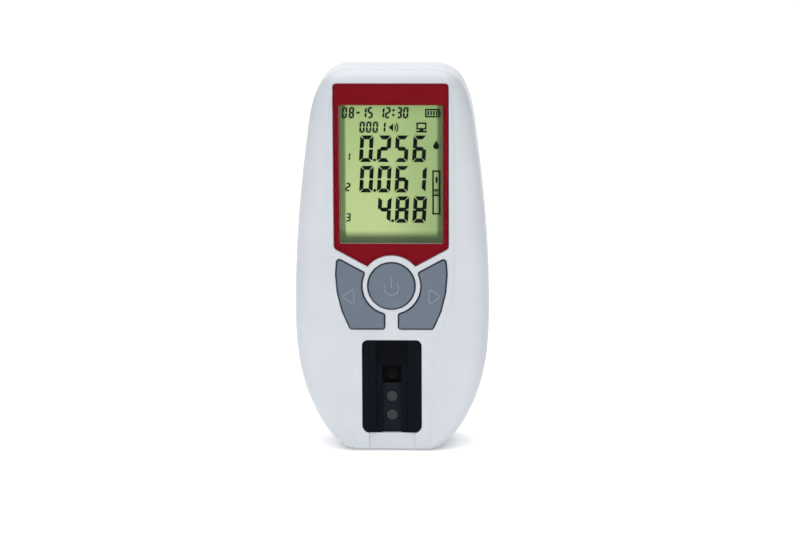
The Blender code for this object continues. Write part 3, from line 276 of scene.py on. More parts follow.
# Front cover
# Front half of the case: one white ABS moulding with a soft raised middle, a pocket for the panel,
# holes for the keys and a bay for strips. Four screws from the rear pull it onto the rear cover.
BODY_HALF_WIDTH, REAR_Y, BODY_LENGTH = CAD_BOX[1]
BASE_HALF_WIDTH = 12.2 * MM
TOP_HALF_WIDTH = 14.5 * MM
PLATEAU_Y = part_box("display_lens")[0][1]
PLATEAU_RISE = 0.45 * MM
FACE_Y = PLATEAU_Y + PLATEAU_RISE
WALL = 2.4 * MM
SEAM_Y = -0.4 * MM
SEAM_GAP = 0.3 * MM
EDGE_DEPTH = 6.0 * MM
EDGE_INSET_SIDE = 7.0 * MM
EDGE_INSET_TOP = 3.8 * MM
EDGE_INSET_BASE = 1.5 * MM
FRONT_INNER_Y = FACE_Y + WALL
REAR_INNER_Y = REAR_Y - WALL
POWER_KEY_HEIGHT = 59.05 * MM
POWER_HOLE_RADIUS = 8.4 * MM
HUB = (0.0, POWER_KEY_HEIGHT)
OUTSIDE = 2.0 * MM
EMBED = 0.5 * MM
FIT = 0.3 * MM
SHARP_ANGLE = math.radians(40.0)


def make(name, bm, *materials, parent=link):
    """Object holding a bmesh, with its faces turned out, smooth but for its sharp edges."""
    bmesh.ops.recalc_face_normals(bm, faces=bm.faces)
    mesh = bpy.data.meshes.new(name)
    bm.to_mesh(mesh)
    bm.free()
    for material in materials:
        mesh.materials.append(material)
    mesh.shade_smooth()
    mesh.set_sharp_from_angle(angle=SHARP_ANGLE)
    obj = bpy.data.objects.new(name, mesh)
    return parent(obj)


def loft(bm, rows, closed=False):
    """Quads between neighbouring closed rows, with a cap on each end unless the rows close up."""
    loops = [[bm.verts.new(point) for point in row] for row in rows]
    pairs = list(zip(loops, loops[1:]))
    if closed:
        pairs.append((loops[-1], loops[0]))
    for low, high in pairs:
        for i in range(len(low)):
            j = (i + 1) % len(low)
            bm.faces.new((low[i], low[j], high[j], high[i]))
    if not closed:
        bm.faces.new(loops[0])
        bm.faces.new(loops[-1])


def offset(outline, distance):
    """Outline moved outwards by a distance, with mitred corners."""
    moved = []
    count = len(outline)
    for i, point in enumerate(outline):
        here = Vector(point)
        before = (here - Vector(outline[i - 1])).normalized()
        after = (Vector(outline[(i + 1) % count]) - here).normalized()
        side_a = Vector((before.y, -before.x))
        side_b = Vector((after.y, -after.x))
        mitre = (side_a + side_b).normalized()
        moved.append(tuple(here + mitre * (distance / mitre.dot(side_a))))
    return moved


def fillet(corners, steps=8):
    """Outline through corners (x, z, radius), each rounded by an arc of its radius."""
    outline = []
    count = len(corners)
    for i, (x, z, radius) in enumerate(corners):
        here = Vector((x, z))
        if radius == 0.0:
            outline.append(tuple(here))
            continue
        to_before = (Vector(corners[i - 1][:2]) - here).normalized()
        to_after = (Vector(corners[(i + 1) % count][:2]) - here).normalized()
        half = to_before.angle(to_after) / 2.0
        centre = here + (to_before + to_after).normalized() * (radius / math.sin(half))
        start = here + to_before * (radius / math.tan(half)) - centre
        sweep = start.angle_signed(here + to_after * (radius / math.tan(half)) - centre)
        for step in range(steps + 1):
            turned = Matrix.Rotation(-sweep * step / steps, 2) @ start
            outline.append(tuple(centre + turned))
    return outline


def mirrored(outline):
    return [(-x, z) for x, z in reversed(outline)]


def arc(centre, radius, start, end, steps, clear=0.0):
    """Points of an arc between two angles in degrees, both ends and a length beside them left out."""
    skip = math.degrees(clear / radius) * math.copysign(1.0, end - start)
    start, end = start + skip, end - skip
    first = 0 if clear else 1
    angles = (math.radians(start + (end - start) * i / steps) for i in range(first, steps + 1 - first))
    return [(centre[0] + radius * math.cos(a), centre[1] + radius * math.sin(a)) for a in angles]


def circle(centre, radius, steps=96):
    angles = (2.0 * math.pi * i / steps for i in range(steps))
    return [(centre[0] + radius * math.cos(a), centre[1] + radius * math.sin(a)) for a in angles]


def rectangle(half_width, low, high, corner, low_corner=None, steps=8):
    """Upright rectangle centred on X = 0, with rounded corners."""
    low_corner = corner if low_corner is None else low_corner
    corners = [
        (half_width, low, low_corner),
        (half_width, high, corner),
        (-half_width, high, corner),
        (-half_width, low, low_corner),
    ]
    return fillet(corners, steps)


def slab(name, outline, front_y, back_y, front_round, back_round, *materials, steps=5, parent=link):
    """Flat outline in X and Z, made thick along Y. A positive rounding turns that rim in, a
    negative one flares it out, as the mouth of a cutter does."""
    towards = math.copysign(1.0, back_y - front_y)
    rows = []
    for rim, side, rounding in ((front_y, towards, front_round), (back_y, -towards, back_round)):
        group = []
        if rounding < 0.0:
            group.append((rim - side * OUTSIDE, -rounding))
        for step in range(steps + 1 if rounding else 1):
            angle = math.radians(90.0 * step / steps)
            inset = rounding * (1.0 - math.sin(angle)) if rounding else 0.0
            depth = abs(rounding) * (1.0 - math.cos(angle)) if rounding else 0.0
            group.append((rim + side * depth, -inset))
        rows.append(group)
    levels = rows[0] + rows[1][::-1]
    bm = bmesh.new()
    loft(bm, [[(x, y, z) for x, z in offset(outline, out)] for y, out in levels])
    return make(name, bm, *materials, parent=parent)


def hold(obj):
    """A tool shape stays out of the scene."""
    return obj


def rod(place, radius, start_y, end_y, steps=48):
    """Round bar along Y at a place given by X and Z."""
    bm = bmesh.new()
    loft(bm, [[(x, y, z) for x, z in circle(place, radius, steps)] for y in (start_y, end_y)])
    return make("tool", bm, parent=hold)


def block(low, high):
    """Box between two opposite corners."""
    bm = bmesh.new()
    corners = [(low[0], low[2]), (high[0], low[2]), (high[0], high[2]), (low[0], high[2])]
    loft(bm, [[(x, y, z) for x, z in corners] for y in (low[1], high[1])])
    return make("tool", bm, parent=hold)


def join(obj, tool, operation="DIFFERENCE"):
    """Boolean of a piece with a tool shape, which is used up."""
    bpy.context.scene.collection.objects.link(tool)
    modifier = obj.modifiers.new("tool", "BOOLEAN")
    modifier.operation = operation
    modifier.solver = "EXACT"
    modifier.object = tool
    graph = bpy.context.evaluated_depsgraph_get()
    result = bpy.data.meshes.new_from_object(obj.evaluated_get(graph))
    obj.modifiers.clear()
    old = obj.data
    obj.data = result
    bpy.data.meshes.remove(old)
    bpy.data.objects.remove(tool, do_unlink=True)
    obj.data.name = obj.name


def crisp(obj):
    """Smooth shading with sharp edges, weighted so that flat faces stay flat."""
    obj.data.shade_smooth()
    obj.data.set_sharp_from_angle(angle=SHARP_ANGLE)
    weighted = obj.modifiers.new("even_shading", "WEIGHTED_NORMAL")
    weighted.keep_sharp = True


def body_outline():
    """Case outline in X and Z, right side upwards and left side downwards."""
    anchors = (
        (BASE_HALF_WIDTH, 0.0, 90.0),
        (25.2 * MM, 10.4 * MM, 30.0),
        (BODY_HALF_WIDTH, 49.0 * MM, 0.0),
        (29.5 * MM, BODY_LENGTH - 26.2 * MM, -7.5),
        (24.2 * MM, BODY_LENGTH - 5.0 * MM, -32.0),
        (TOP_HALF_WIDTH, BODY_LENGTH, -90.0),
    )
    fullness = (0.33, 0.355, 0.34, 0.325, 0.35)
    steps = (20, 22, 22, 12, 18)
    right = []
    for start, end, share, count in zip(anchors, anchors[1:], fullness, steps):
        a, b = Vector(start[:2]), Vector(end[:2])
        reach = (b - a).length * share
        lean_a, lean_b = math.radians(start[2]), math.radians(end[2])
        leave = a + Vector((math.sin(lean_a), math.cos(lean_a))) * reach
        arrive = b - Vector((math.sin(lean_b), math.cos(lean_b))) * reach
        right.extend(tuple(point)[:2] for point in interpolate_bezier(a, leave, arrive, b, count + 1)[:-1])
    right.append((TOP_HALF_WIDTH, BODY_LENGTH))
    across = [(x * MM, BODY_LENGTH) for x in (9.6, 4.8, 0.0)]
    low = [(x * MM, 0.0) for x in (-6.8, 0.0, 6.8)]
    return low + right + across + mirrored(right + across[:2])


OUTLINE = body_outline()


def outline_normals(outline):
    count = len(outline)
    normals = []
    for i in range(count):
        along = Vector(outline[(i + 1) % count]) - Vector(outline[i - 1])
        normals.append(Vector((along.y, -along.x)).normalized())
    return normals


NORMALS = outline_normals(OUTLINE)


def smoothstep(low, high, value):
    share = min(max((value - low) / (high - low), 0.0), 1.0)
    return share * share * (3.0 - 2.0 * share)


EDGE_STEPS = 10
INNER_EDGE_STEPS = 5


def edge_rows(levels, rim_y):
    """Rows of a cover's rounded edge, from its face to its straight wall."""
    rows = []
    for step in range(EDGE_STEPS + 1):
        angle = math.radians(90.0 * step / EDGE_STEPS)
        row = []
        for (x, z), normal, face_y in zip(OUTLINE, NORMALS, levels):
            end_inset = EDGE_INSET_TOP if normal.y > 0.0 else EDGE_INSET_BASE
            full = EDGE_INSET_SIDE + (end_inset - EDGE_INSET_SIDE) * abs(normal.y)
            inset = full * (1.0 - math.sin(angle))
            towards = math.copysign(EDGE_DEPTH, rim_y - face_y)
            y = face_y + towards * (1.0 - math.cos(angle))
            row.append((x - normal.x * inset, y, z - normal.y * inset))
        rows.append(row)
    rows.append([(x, rim_y, z) for x, z in OUTLINE])
    return rows


def ray_reach(centre, towards, outline):
    """Distance from a centre to an outline in a direction."""
    best = 0.0
    for i, end in enumerate(outline):
        start = Vector(outline[i - 1]) - centre
        along = Vector(end) - centre - start
        across = towards.cross(along)
        if abs(across) < 1e-12:
            continue
        distance = start.cross(along) / across
        share = start.cross(towards) / across
        if distance > 0.0 and -1e-6 <= share <= 1.0 + 1e-6:
            best = max(best, distance)
    return best


PANEL_HALF_WIDTH = 19.9 * MM
PANEL_TOP = BODY_LENGTH - 4.5 * MM
PANEL_SLANT_HEIGHT = 72.1 * MM
PANEL_SLANT = 28.6
HOLDER_BASE_HEIGHT = 6.6 * MM
HOLDER_TOP_HEIGHT = 39.8 * MM
HOLDER_HALF_WIDTH = 10.35 * MM
WING_BASE_HEIGHT = 43.6 * MM
WING_OUTER_X = 19.45 * MM
WING_OUTER_RADIUS = 41.5 * MM
WING_WIDEST = POWER_KEY_HEIGHT + 4.25 * MM
WING_CENTRE_X = WING_OUTER_X - WING_OUTER_RADIUS
PANEL_ARC_RADIUS = POWER_HOLE_RADIUS + 2.2 * MM
MOUTH = 0.3 * MM  # rounding of each opening's front edge


def slant_height(x, drop=0.0):
    """Height of the panel's lower slant at a distance from the middle."""
    return PANEL_SLANT_HEIGHT - (PANEL_HALF_WIDTH - x) * math.tan(math.radians(PANEL_SLANT)) - drop


def slant_meets_circle(drop, radius):
    """Where the slant, lowered by a drop, meets a circle round the power key, and at what angle."""
    slope = math.tan(math.radians(PANEL_SLANT))
    rise = slant_height(0.0, drop) - POWER_KEY_HEIGHT
    a = 1.0 + slope**2
    b = 2.0 * slope * rise
    c = rise**2 - radius**2
    x = (-b + math.sqrt(b**2 - 4.0 * a * c)) / (2.0 * a)
    z = POWER_KEY_HEIGHT + rise + slope * x
    return x, z, math.degrees(math.atan2(z - POWER_KEY_HEIGHT, x))


def panel_outline():
    """Red panel: upright rectangle whose lower edge slants down to an arc over the power key."""
    tip_x, tip_z, tip_angle = slant_meets_circle(0.0, PANEL_ARC_RADIUS)
    right = [
        (tip_x, tip_z, 0.45 * MM),
        (PANEL_HALF_WIDTH, PANEL_SLANT_HEIGHT, 1.8 * MM),
        (PANEL_HALF_WIDTH, PANEL_TOP, 1.3 * MM),
    ]
    left = [(-x, z, r) for x, z, r in reversed(right)]
    over_key = arc(HUB, PANEL_ARC_RADIUS, 180.0 - tip_angle, tip_angle, 40, 1.1 * MM)
    return fillet(right + left + [(x, z, 0.0) for x, z in over_key])


def wing_outline():
    """Hole of the right-hand wing key."""
    ring = POWER_HOLE_RADIUS + 1.6 * MM
    inner_x = 2.17 * MM
    drop = 2.1 * MM / math.cos(math.radians(PANEL_SLANT))

    def outer_x(z):
        return WING_CENTRE_X + math.sqrt(WING_OUTER_RADIUS**2 - (z - WING_WIDEST) ** 2)

    top_x, top_z, top_angle = slant_meets_circle(drop, ring)
    corner_z = slant_height(WING_OUTER_X, drop)
    corner_x = outer_x(corner_z)
    inner_z = POWER_KEY_HEIGHT - math.sqrt(ring**2 - inner_x**2)
    inner_angle = math.degrees(math.atan2(inner_z - POWER_KEY_HEIGHT, inner_x))
    steps = 4
    side = [WING_BASE_HEIGHT + (corner_z - WING_BASE_HEIGHT) * i / steps for i in range(1, steps)]
    corners = [
        (inner_x, WING_BASE_HEIGHT, 1.0 * MM),
        (outer_x(WING_BASE_HEIGHT), WING_BASE_HEIGHT, 1.2 * MM),
        *((outer_x(z), z, 0.0) for z in side),
        (corner_x, slant_height(corner_x, drop), 1.2 * MM),
        (top_x, top_z, 1.2 * MM),
        *((x, z, 0.0) for x, z in arc(HUB, ring, top_angle, inner_angle, 30, 2.0 * MM)),
        (inner_x, inner_z, 1.0 * MM),
    ]
    return fillet(corners)


def plateau_outline():
    """Raised middle of the front: round the panel and keys, then narrow beside the strip bay."""
    border = 0.8 * MM
    wide = PANEL_HALF_WIDTH + border
    narrow = 12.4 * MM
    key_base = WING_BASE_HEIGHT - border
    corner = 2.1 * MM
    radius = wide - WING_CENTRE_X
    steps = 8
    heights = [key_base + (WING_WIDEST - key_base) * i / steps for i in range(steps)]
    side = [(WING_CENTRE_X + math.sqrt(radius**2 - (z - WING_WIDEST) ** 2), z) for z in heights]
    right = [
        (narrow, 2.6 * MM, corner),
        (narrow, HOLDER_TOP_HEIGHT, corner),
        (*side[0], corner),
        *((x, z, 0.0) for x, z in side[1:]),
        (wide, WING_WIDEST, 0.0),
        (wide, PANEL_TOP + border, corner),
    ]
    left = [(-x, z, r) for x, z, r in reversed(right)]
    return fillet(right + left)


PANEL = panel_outline()
WING = wing_outline()
HOLDER_HOLE = rectangle(HOLDER_HALF_WIDTH, HOLDER_BASE_HEIGHT, HOLDER_TOP_HEIGHT, 2.0 * MM, 2.7 * MM)
WINDOW_HALF_WIDTH = 17.85 * MM
WINDOW_LOW = PANEL_SLANT_HEIGHT + 1.6 * MM
WINDOW_HIGH = PANEL_TOP - 7.6 * MM
WINDOW = rectangle(WINDOW_HALF_WIDTH, WINDOW_LOW, WINDOW_HIGH, 0.6 * MM)
POCKET_Y = PLATEAU_Y + 1.6 * MM
CASE_POSTS = [(side * 14.29 * MM, BODY_LENGTH - 5.4 * MM) for side in (-1, 1)]
CASE_POSTS += [(side * 17.19 * MM, 12.8 * MM) for side in (-1, 1)]


def front_rows():
    """Rows of the front, from the raised middle out over the rounded edge to the seam."""
    tops = [smoothstep(0.55, 0.95, normal.y) for normal in NORMALS]
    levels = [FACE_Y - PLATEAU_RISE * top for top in tops]
    rows = edge_rows(levels, SEAM_Y - SEAM_GAP / 2.0)
    middle = Vector((0.0, POWER_KEY_HEIGHT))
    outline = plateau_outline()
    slope_steps = 7
    inner = [Vector((x, z)) - middle for x, _, z in rows[0]]
    tip = [min(ray_reach(middle, p.normalized(), outline), p.length - 0.25 * MM) for p in inner]
    foot = []
    for point, reach in zip(inner, tip):
        spot = middle + point.normalized() * reach
        beside_bay = 1.0 - smoothstep(38.0 * MM, 46.0 * MM, spot.y)
        near_end = smoothstep(20.0 * MM, 4.0 * MM, spot.y) if spot.y < 20.0 * MM else 0.0
        width = 1.7 * MM + 1.3 * MM * beside_bay * (1.0 - near_end)
        lean = max(abs(point.normalized().x), 0.35)
        foot.append(min(reach + width / lean, point.length - 0.1 * MM))
    slope = []
    for step in range(slope_steps + 1):
        share = step / slope_steps
        rise = PLATEAU_RISE * (1.0 + math.cos(math.pi * share)) / 2.0
        row = []
        for point, low, high, top in zip(inner, foot, tip, tops):
            spot = middle + point.normalized() * (high + (low - high) * share)
            row.append((spot.x, FACE_Y - max(rise, PLATEAU_RISE * top), spot.y))
        slope.append(row)
    return slope + rows


def shell(name, rows, inner_y, material):
    """Cover from its outer rows, face first and rim last, and an inner surface a wall away."""
    rim_y = rows[-1][0][1]
    towards = math.copysign(EDGE_DEPTH - WALL, rim_y - inner_y)
    inner = [[(x, rim_y, z) for x, z in offset(OUTLINE, -WALL)]]
    for step in range(INNER_EDGE_STEPS, -1, -1):
        angle = math.radians(90.0 * step / INNER_EDGE_STEPS)
        y = inner_y + towards * (1.0 - math.cos(angle))
        row = []
        for (x, z), normal in zip(OUTLINE, NORMALS):
            end_inset = EDGE_INSET_TOP if normal.y > 0.0 else WALL
            full = EDGE_INSET_SIDE + (end_inset - EDGE_INSET_SIDE) * abs(normal.y)
            inset = WALL + (full - WALL + EMBED) * (1.0 - math.sin(angle))
            row.append((x - normal.x * inset, y, z - normal.y * inset))
        inner.append(row)
    bm = bmesh.new()
    loft(bm, rows + inner)
    return make(name, bm, material)


SHELL_WHITE = moulding("shell_white", (207, 212, 218), 0.32, 0.25, 0.3)
front = shell("front_case", front_rows(), FRONT_INNER_Y, SHELL_WHITE)
join(front, slab("tool", PANEL, PLATEAU_Y, POCKET_Y, -MOUTH, 0.0, parent=hold))
through = FRONT_INNER_Y + OUTSIDE
join(front, slab("tool", WINDOW, POCKET_Y - EMBED, through, 0.0, 0.0, parent=hold))
for hole in (circle(HUB, POWER_HOLE_RADIUS), WING, mirrored(WING), HOLDER_HOLE):
    join(front, slab("tool", hole, PLATEAU_Y, through, -MOUTH, 0.0, parent=hold))
channel = rectangle(8.0 * MM, -5.0 * MM, HOLDER_BASE_HEIGHT + 2.7 * MM, 0.3 * MM)
join(front, slab("tool", channel, PLATEAU_Y, PLATEAU_Y + 0.8 * MM, -MOUTH, 0.25 * MM, parent=hold))
port_low, port_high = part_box("usb_socket")
margin = 0.8 * MM
port_low = (-BODY_HALF_WIDTH, port_low[1] - margin, port_low[2] - margin)
port_high = (port_low[0] + 8.0 * MM, port_high[1] + margin, port_high[2] + margin)
join(front, block(port_low, port_high))
for place in CASE_POSTS:
    join(front, rod(place, 2.6 * MM, FRONT_INNER_Y - EMBED, -2.5 * MM, 32), "UNION")
    join(front, rod(place, 1.5 * MM, -7.0 * MM, OUTSIDE, 32))
crisp(front)
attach(front, "case")
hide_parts("front_cover")


# Rear cover
# Rear half of the case: white ABS, with the battery bay moulded in, four screw wells, a seat for
# the door, and a lip at the seam that reaches into the front cover.
def rear_rows():
    return edge_rows([REAR_Y] * len(OUTLINE), SEAM_Y + SEAM_GAP / 2.0)


BAY_HALF_WIDTH = 16.4 * MM
BAY_LOW = 24.0 * MM
BAY_HIGH = 73.9 * MM
BAY_FLOOR_Y = 1.2 * MM
DOOR_LOW, DOOR_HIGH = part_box("battery_door")
DOOR_BASE = BAY_LOW - 1.9 * MM
DOOR_TOP = DOOR_HIGH[2]
DOOR_HALF_WIDTH = DOOR_HIGH[0]
DOOR_INNER_Y = REAR_Y - 2.0 * MM
SEAT_Y = DOOR_INNER_Y - FIT
BAY_WALL = 1.2 * MM
TAB_X = 10.0 * MM
TAB_WIDTH = 4.0 * MM
rear = shell("rear_case", rear_rows(), REAR_INNER_Y, SHELL_WHITE)
wide = DOOR_HALF_WIDTH + BAY_WALL
seat_low = (-wide, SEAT_Y - BAY_WALL, DOOR_BASE - BAY_WALL)
join(rear, block(seat_low, (wide, REAR_INNER_Y + EMBED, DOOR_TOP + BAY_WALL)), "UNION")
half = BAY_HALF_WIDTH + BAY_WALL
bay_low = (-half, BAY_FLOOR_Y - BAY_WALL, BAY_LOW - BAY_WALL)
join(rear, block(bay_low, (half, SEAT_Y - EMBED, BAY_HIGH + BAY_WALL)), "UNION")
for place in CASE_POSTS:
    join(rear, rod(place, 3.9 * MM, 1.6 * MM, REAR_INNER_Y + EMBED), "UNION")
    join(rear, rod(place, 2.3 * MM, -2.2 * MM, 3.5 * MM), "UNION")
for place in CASE_POSTS:
    well = circle(place, 2.5 * MM, 64)
    join(rear, slab("tool", well, REAR_Y, 4.0 * MM, -0.3 * MM, 0.0, parent=hold))
    join(rear, rod(place, 1.5 * MM, -6.0 * MM, 6.0 * MM))
recess = rectangle(DOOR_HALF_WIDTH + FIT, DOOR_BASE - FIT, DOOR_TOP + FIT, 2.3 * MM)
join(rear, slab("tool", recess, REAR_Y, SEAT_Y, -0.2 * MM, 0.0, parent=hold))
join(rear, block((-BAY_HALF_WIDTH, BAY_FLOOR_Y, BAY_LOW), (BAY_HALF_WIDTH, REAR_Y + OUTSIDE, BAY_HIGH)))
for side in (-1, 1):
    slot_low = (side * TAB_X - TAB_WIDTH / 2.0 - FIT, 10.2 * MM, DOOR_LOW[2] - FIT)
    slot_high = (side * TAB_X + TAB_WIDTH / 2.0 + FIT, SEAT_Y + 0.15 * MM, BAY_LOW + FIT)
    join(rear, block(slot_low, slot_high))
lip_rim = SEAM_Y + SEAM_GAP / 2.0 + 1.0 * MM
lip_low, lip_high = -2.2 * MM, 2.6 * MM
lip_out, lip_foot, lip_in = 2.7 * MM, 1.9 * MM, 3.7 * MM
lip_profile = (
    (lip_out, lip_low),
    (lip_out, lip_rim),
    (lip_foot, lip_rim),
    (lip_foot, lip_high),
    (lip_in, lip_high),
    (lip_in, lip_low),
)
lip_rows = [[(x, y, z) for x, z in offset(OUTLINE, -inset)] for inset, y in lip_profile]
lip_bm = bmesh.new()
loft(lip_bm, lip_rows, closed=True)
join(rear, make("tool", lip_bm, parent=hold), "UNION")
crisp(rear)
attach(rear, "case")
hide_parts("rear_cover")


# Battery door
# Loose white ABS door with a ribbed thumb dish at its top and two tabs under the cover below.
door_outline = rectangle(DOOR_HALF_WIDTH, DOOR_BASE, DOOR_TOP, 2.0 * MM)
door = slab("bay_door", door_outline, REAR_Y, DOOR_INNER_Y, 0.3 * MM, 0.0, SHELL_WHITE)
DISH_TOP = DOOR_TOP - 2.0 * MM
dish = rectangle(7.0 * MM, DISH_TOP - 6.0 * MM, DISH_TOP, 2.0 * MM)
join(door, slab("tool", dish, REAR_Y, REAR_Y - 0.9 * MM, -0.25 * MM, 0.0, parent=hold))
for i in range(4):
    z = DISH_TOP - 1.4 * MM * (i + 0.75)
    rib = rectangle(5.0 * MM, z - 0.35 * MM, z + 0.35 * MM, 0.34 * MM, steps=6)
    join(door, slab("tool", rib, REAR_Y - 0.45 * MM, REAR_Y - 1.4 * MM, 0.2 * MM, 0.0, parent=hold), "UNION")
for side in (-1, 1):
    tab_low = (side * TAB_X - TAB_WIDTH / 2.0, 10.8 * MM, DOOR_LOW[2])
    tab_high_x = tab_low[0] + TAB_WIDTH
    join(door, block(tab_low, (tab_high_x, 12.1 * MM, BAY_LOW - FIT)), "UNION")
    neck_low = (tab_low[0], 11.6 * MM, DOOR_BASE + FIT)
    join(door, block(neck_low, (tab_high_x, DOOR_INNER_Y + EMBED, BAY_LOW - FIT)), "UNION")
crisp(door)
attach(door, "battery_door")
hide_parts("battery_door")


# Display lens
# Clear polished acrylic inlay, level with the raised middle, over the printed film. It is drawn as
# a faint mirror that grows stronger at a slant.
lens_finish = Finish("panel_clear", (255, 255, 255), 0.03, {"Metallic": 1.0})
mirror_share = lens_finish.node("ShaderNodeFresnel", {}, {"IOR": 1.1})
lens_finish.feed("Alpha", mirror_share)
inlay = offset(PANEL, -0.15 * MM)
lens_back = PLATEAU_Y + 1.0 * MM
lens = slab("clear_lens", inlay, PLATEAU_Y, lens_back, 0.12 * MM, 0.0, lens_finish.material)
crisp(lens)
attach(lens, "case")
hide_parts("display_lens")


# Panel film
# Printed film under the lens, dark red, with a window for the display.
film_finish = Finish("panel_red", (129, 4, 21), 0.4, {"Specular IOR Level": 0.02})
print_clouds = film_finish.noise(120.0)
film_finish.feed("Base Color", film_finish.mix(print_clouds.ramp(0.3, 0.7), (127, 3, 20), (131, 5, 22)))
film_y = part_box("panel_film")[0][1]
film = slab("red_film", inlay, film_y, film_y + 0.2 * MM, 0.0, 0.0, film_finish.material)
join(film, slab("tool", WINDOW, film_y - OUTSIDE, film_y + OUTSIDE, 0.0, 0.0, parent=hold))
crisp(film)
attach(film, "case")
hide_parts("panel_film")


# Display glass
# Two glass plates with a green-grey reflector behind them; a painted shadow of the window's rim darkens it
# towards its edges.
LCD_PALE = (199, 219, 153)
glass_finish = Finish("lcd_green", LCD_PALE, 0.25, {"Specular IOR Level": 0.05})
glass_x, glass_z = glass_finish.axis("X"), glass_finish.axis("Z")
to_right = glass_x.ramp(-0.3 * WINDOW_HALF_WIDTH, WINDOW_HALF_WIDTH)
up = glass_z.ramp(WINDOW_LOW, WINDOW_HIGH + 10.0 * MM)
# Painted shadow: bands along each edge of the window, where the rim's shade falls on the sunken glass.
shadow_left = glass_x.ramp(-15.4 * MM, -16.2 * MM)
shadow_right = glass_x.ramp(15.3 * MM, 16.5 * MM)
shadow_base = glass_z.ramp(78.4 * MM, 75.1 * MM)
shadow_top = glass_z.ramp(121.0 * MM, 122.2 * MM)
tint = glass_finish.mix(to_right, LCD_PALE, (161, 185, 126))
tint = glass_finish.mix(up * 0.75, tint, (163, 195, 129))
# rim holds the painted shadow along the window's edges, which turns the glass a shaded dark green there.
rim = (shadow_left * 0.85 + shadow_right * 0.9 + shadow_base + shadow_top * 0.7).clamp()
glass_finish.feed("Base Color", glass_finish.mix(rim * 0.92, tint, (78, 98, 67)))
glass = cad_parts["lcd_glass"]
glass.material_slots[0].material = glass_finish.material


# Display figures
# Dark liquid-crystal segments, as thin plates just in front of the display glass: three readings,
# a date, a time and a count in plain numbers, and generic signs.
GLASS_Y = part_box("lcd_glass")[0][1]
PLATE_THICKNESS = 0.03 * MM
FIGURE_LEAN = math.tan(math.radians(3.6))
LIT = {
    "0": "abcdef",
    "1": "bc",
    "2": "abdeg",
    "3": "abcdg",
    "4": "bcfg",
    "5": "acdfg",
    "6": "acdefg",
    "8": "abcdefg",
}


class Plates:
    """Thin flat shapes on the display that share one mesh; sizes and places are in mm."""

    def __init__(self):
        self.bm = bmesh.new()

    def shape(self, points):
        levels = (GLASS_Y - PLATE_THICKNESS, GLASS_Y)
        loft(self.bm, [[(x * MM, y, z * MM) for x, z in points] for y in levels])

    def bar(self, start, end, width):
        """Straight bar with square ends."""
        a, b = Vector(start), Vector(end)
        side = (b - a).normalized().orthogonal() * (width / 2.0)
        self.shape([tuple(a + side), tuple(b + side), tuple(b - side), tuple(a - side)])

    def frame(self, low, high, width):
        """Four bars inside a rectangle's edges."""
        inset = width / 2.0
        self.bar((low[0], low[1] + inset), (high[0], low[1] + inset), width)
        self.bar((low[0], high[1] - inset), (high[0], high[1] - inset), width)
        self.bar((low[0] + inset, low[1] + width), (low[0] + inset, high[1] - width), width)
        self.bar((high[0] - inset, low[1] + width), (high[0] - inset, high[1] - width), width)

    def band(self, centre, radius, width, start=0.0, end=360.0, steps=20):
        """Arc of a ring, between two angles in degrees."""
        turns = [math.radians(start + (end - start) * i / steps) for i in range(steps + 1)]
        for a, b in zip(turns, turns[1:]):
            outer, inner = radius + width / 2.0, radius - width / 2.0
            corners = ((a, outer), (b, outer), (b, inner), (a, inner))
            self.shape([(centre[0] + r * math.cos(t), centre[1] + r * math.sin(t)) for t, r in corners])

    def disc(self, centre, radius):
        self.shape(circle(centre, radius, 20))

    def digit(self, figure, low_x, low_z, width, height, stroke):
        """Seven-segment figure with mitred bars, thin gaps between them, that leans a little."""
        half = stroke / 2.0
        blunt = stroke * 0.22
        hair = stroke * 0.035
        gap = stroke * 0.15
        middle = height / 2.0
        across = [
            (blunt + hair, 0.0),
            (width - blunt - hair, 0.0),
            (width - stroke - hair, stroke),
            (stroke + hair, stroke),
        ]
        upright = [
            (0.0, blunt + hair),
            (stroke, stroke + hair),
            (stroke, middle - gap - half * 0.7),
            (stroke * 0.75, middle - gap),
            (0.0, middle - gap),
        ]
        centre_bar = [
            (half + hair, middle),
            (stroke + hair, middle - half),
            (width - stroke - hair, middle - half),
            (width - half - hair, middle),
            (width - stroke - hair, middle + half),
            (stroke + hair, middle + half),
        ]
        shapes = {
            "a": [(x, height - z) for x, z in across],
            "b": [(width - x, height - z) for x, z in upright],
            "c": [(width - x, z) for x, z in upright],
            "d": across,
            "e": upright,
            "f": [(x, height - z) for x, z in upright],
            "g": centre_bar,
        }
        for name in LIT[figure]:
            self.shape([(low_x + x + z * FIGURE_LEAN, low_z + z) for x, z in shapes[name]])

    def figures(self, text, low_x, low_z, pitch, width, height, stroke):
        """Row of figures, with a blank for each space and a dot after a figure's point."""
        place = low_x
        for figure in text:
            if figure == ".":
                between = pitch - width
                self.disc((place - between * 0.46, low_z + stroke * 0.5), between * 0.35)
                continue
            if figure == "-":
                middle = low_z + height / 2.0
                self.bar((place + width * 0.2, middle), (place + width * 0.8, middle), stroke)
            elif figure == ":":
                self.disc((place + width * 0.45, low_z + height * 0.3), stroke * 0.65)
                self.disc((place + width * 0.5, low_z + height * 0.72), stroke * 0.65)
            elif figure != " ":
                self.digit(figure, place, low_z, width, height, stroke)
            place += pitch


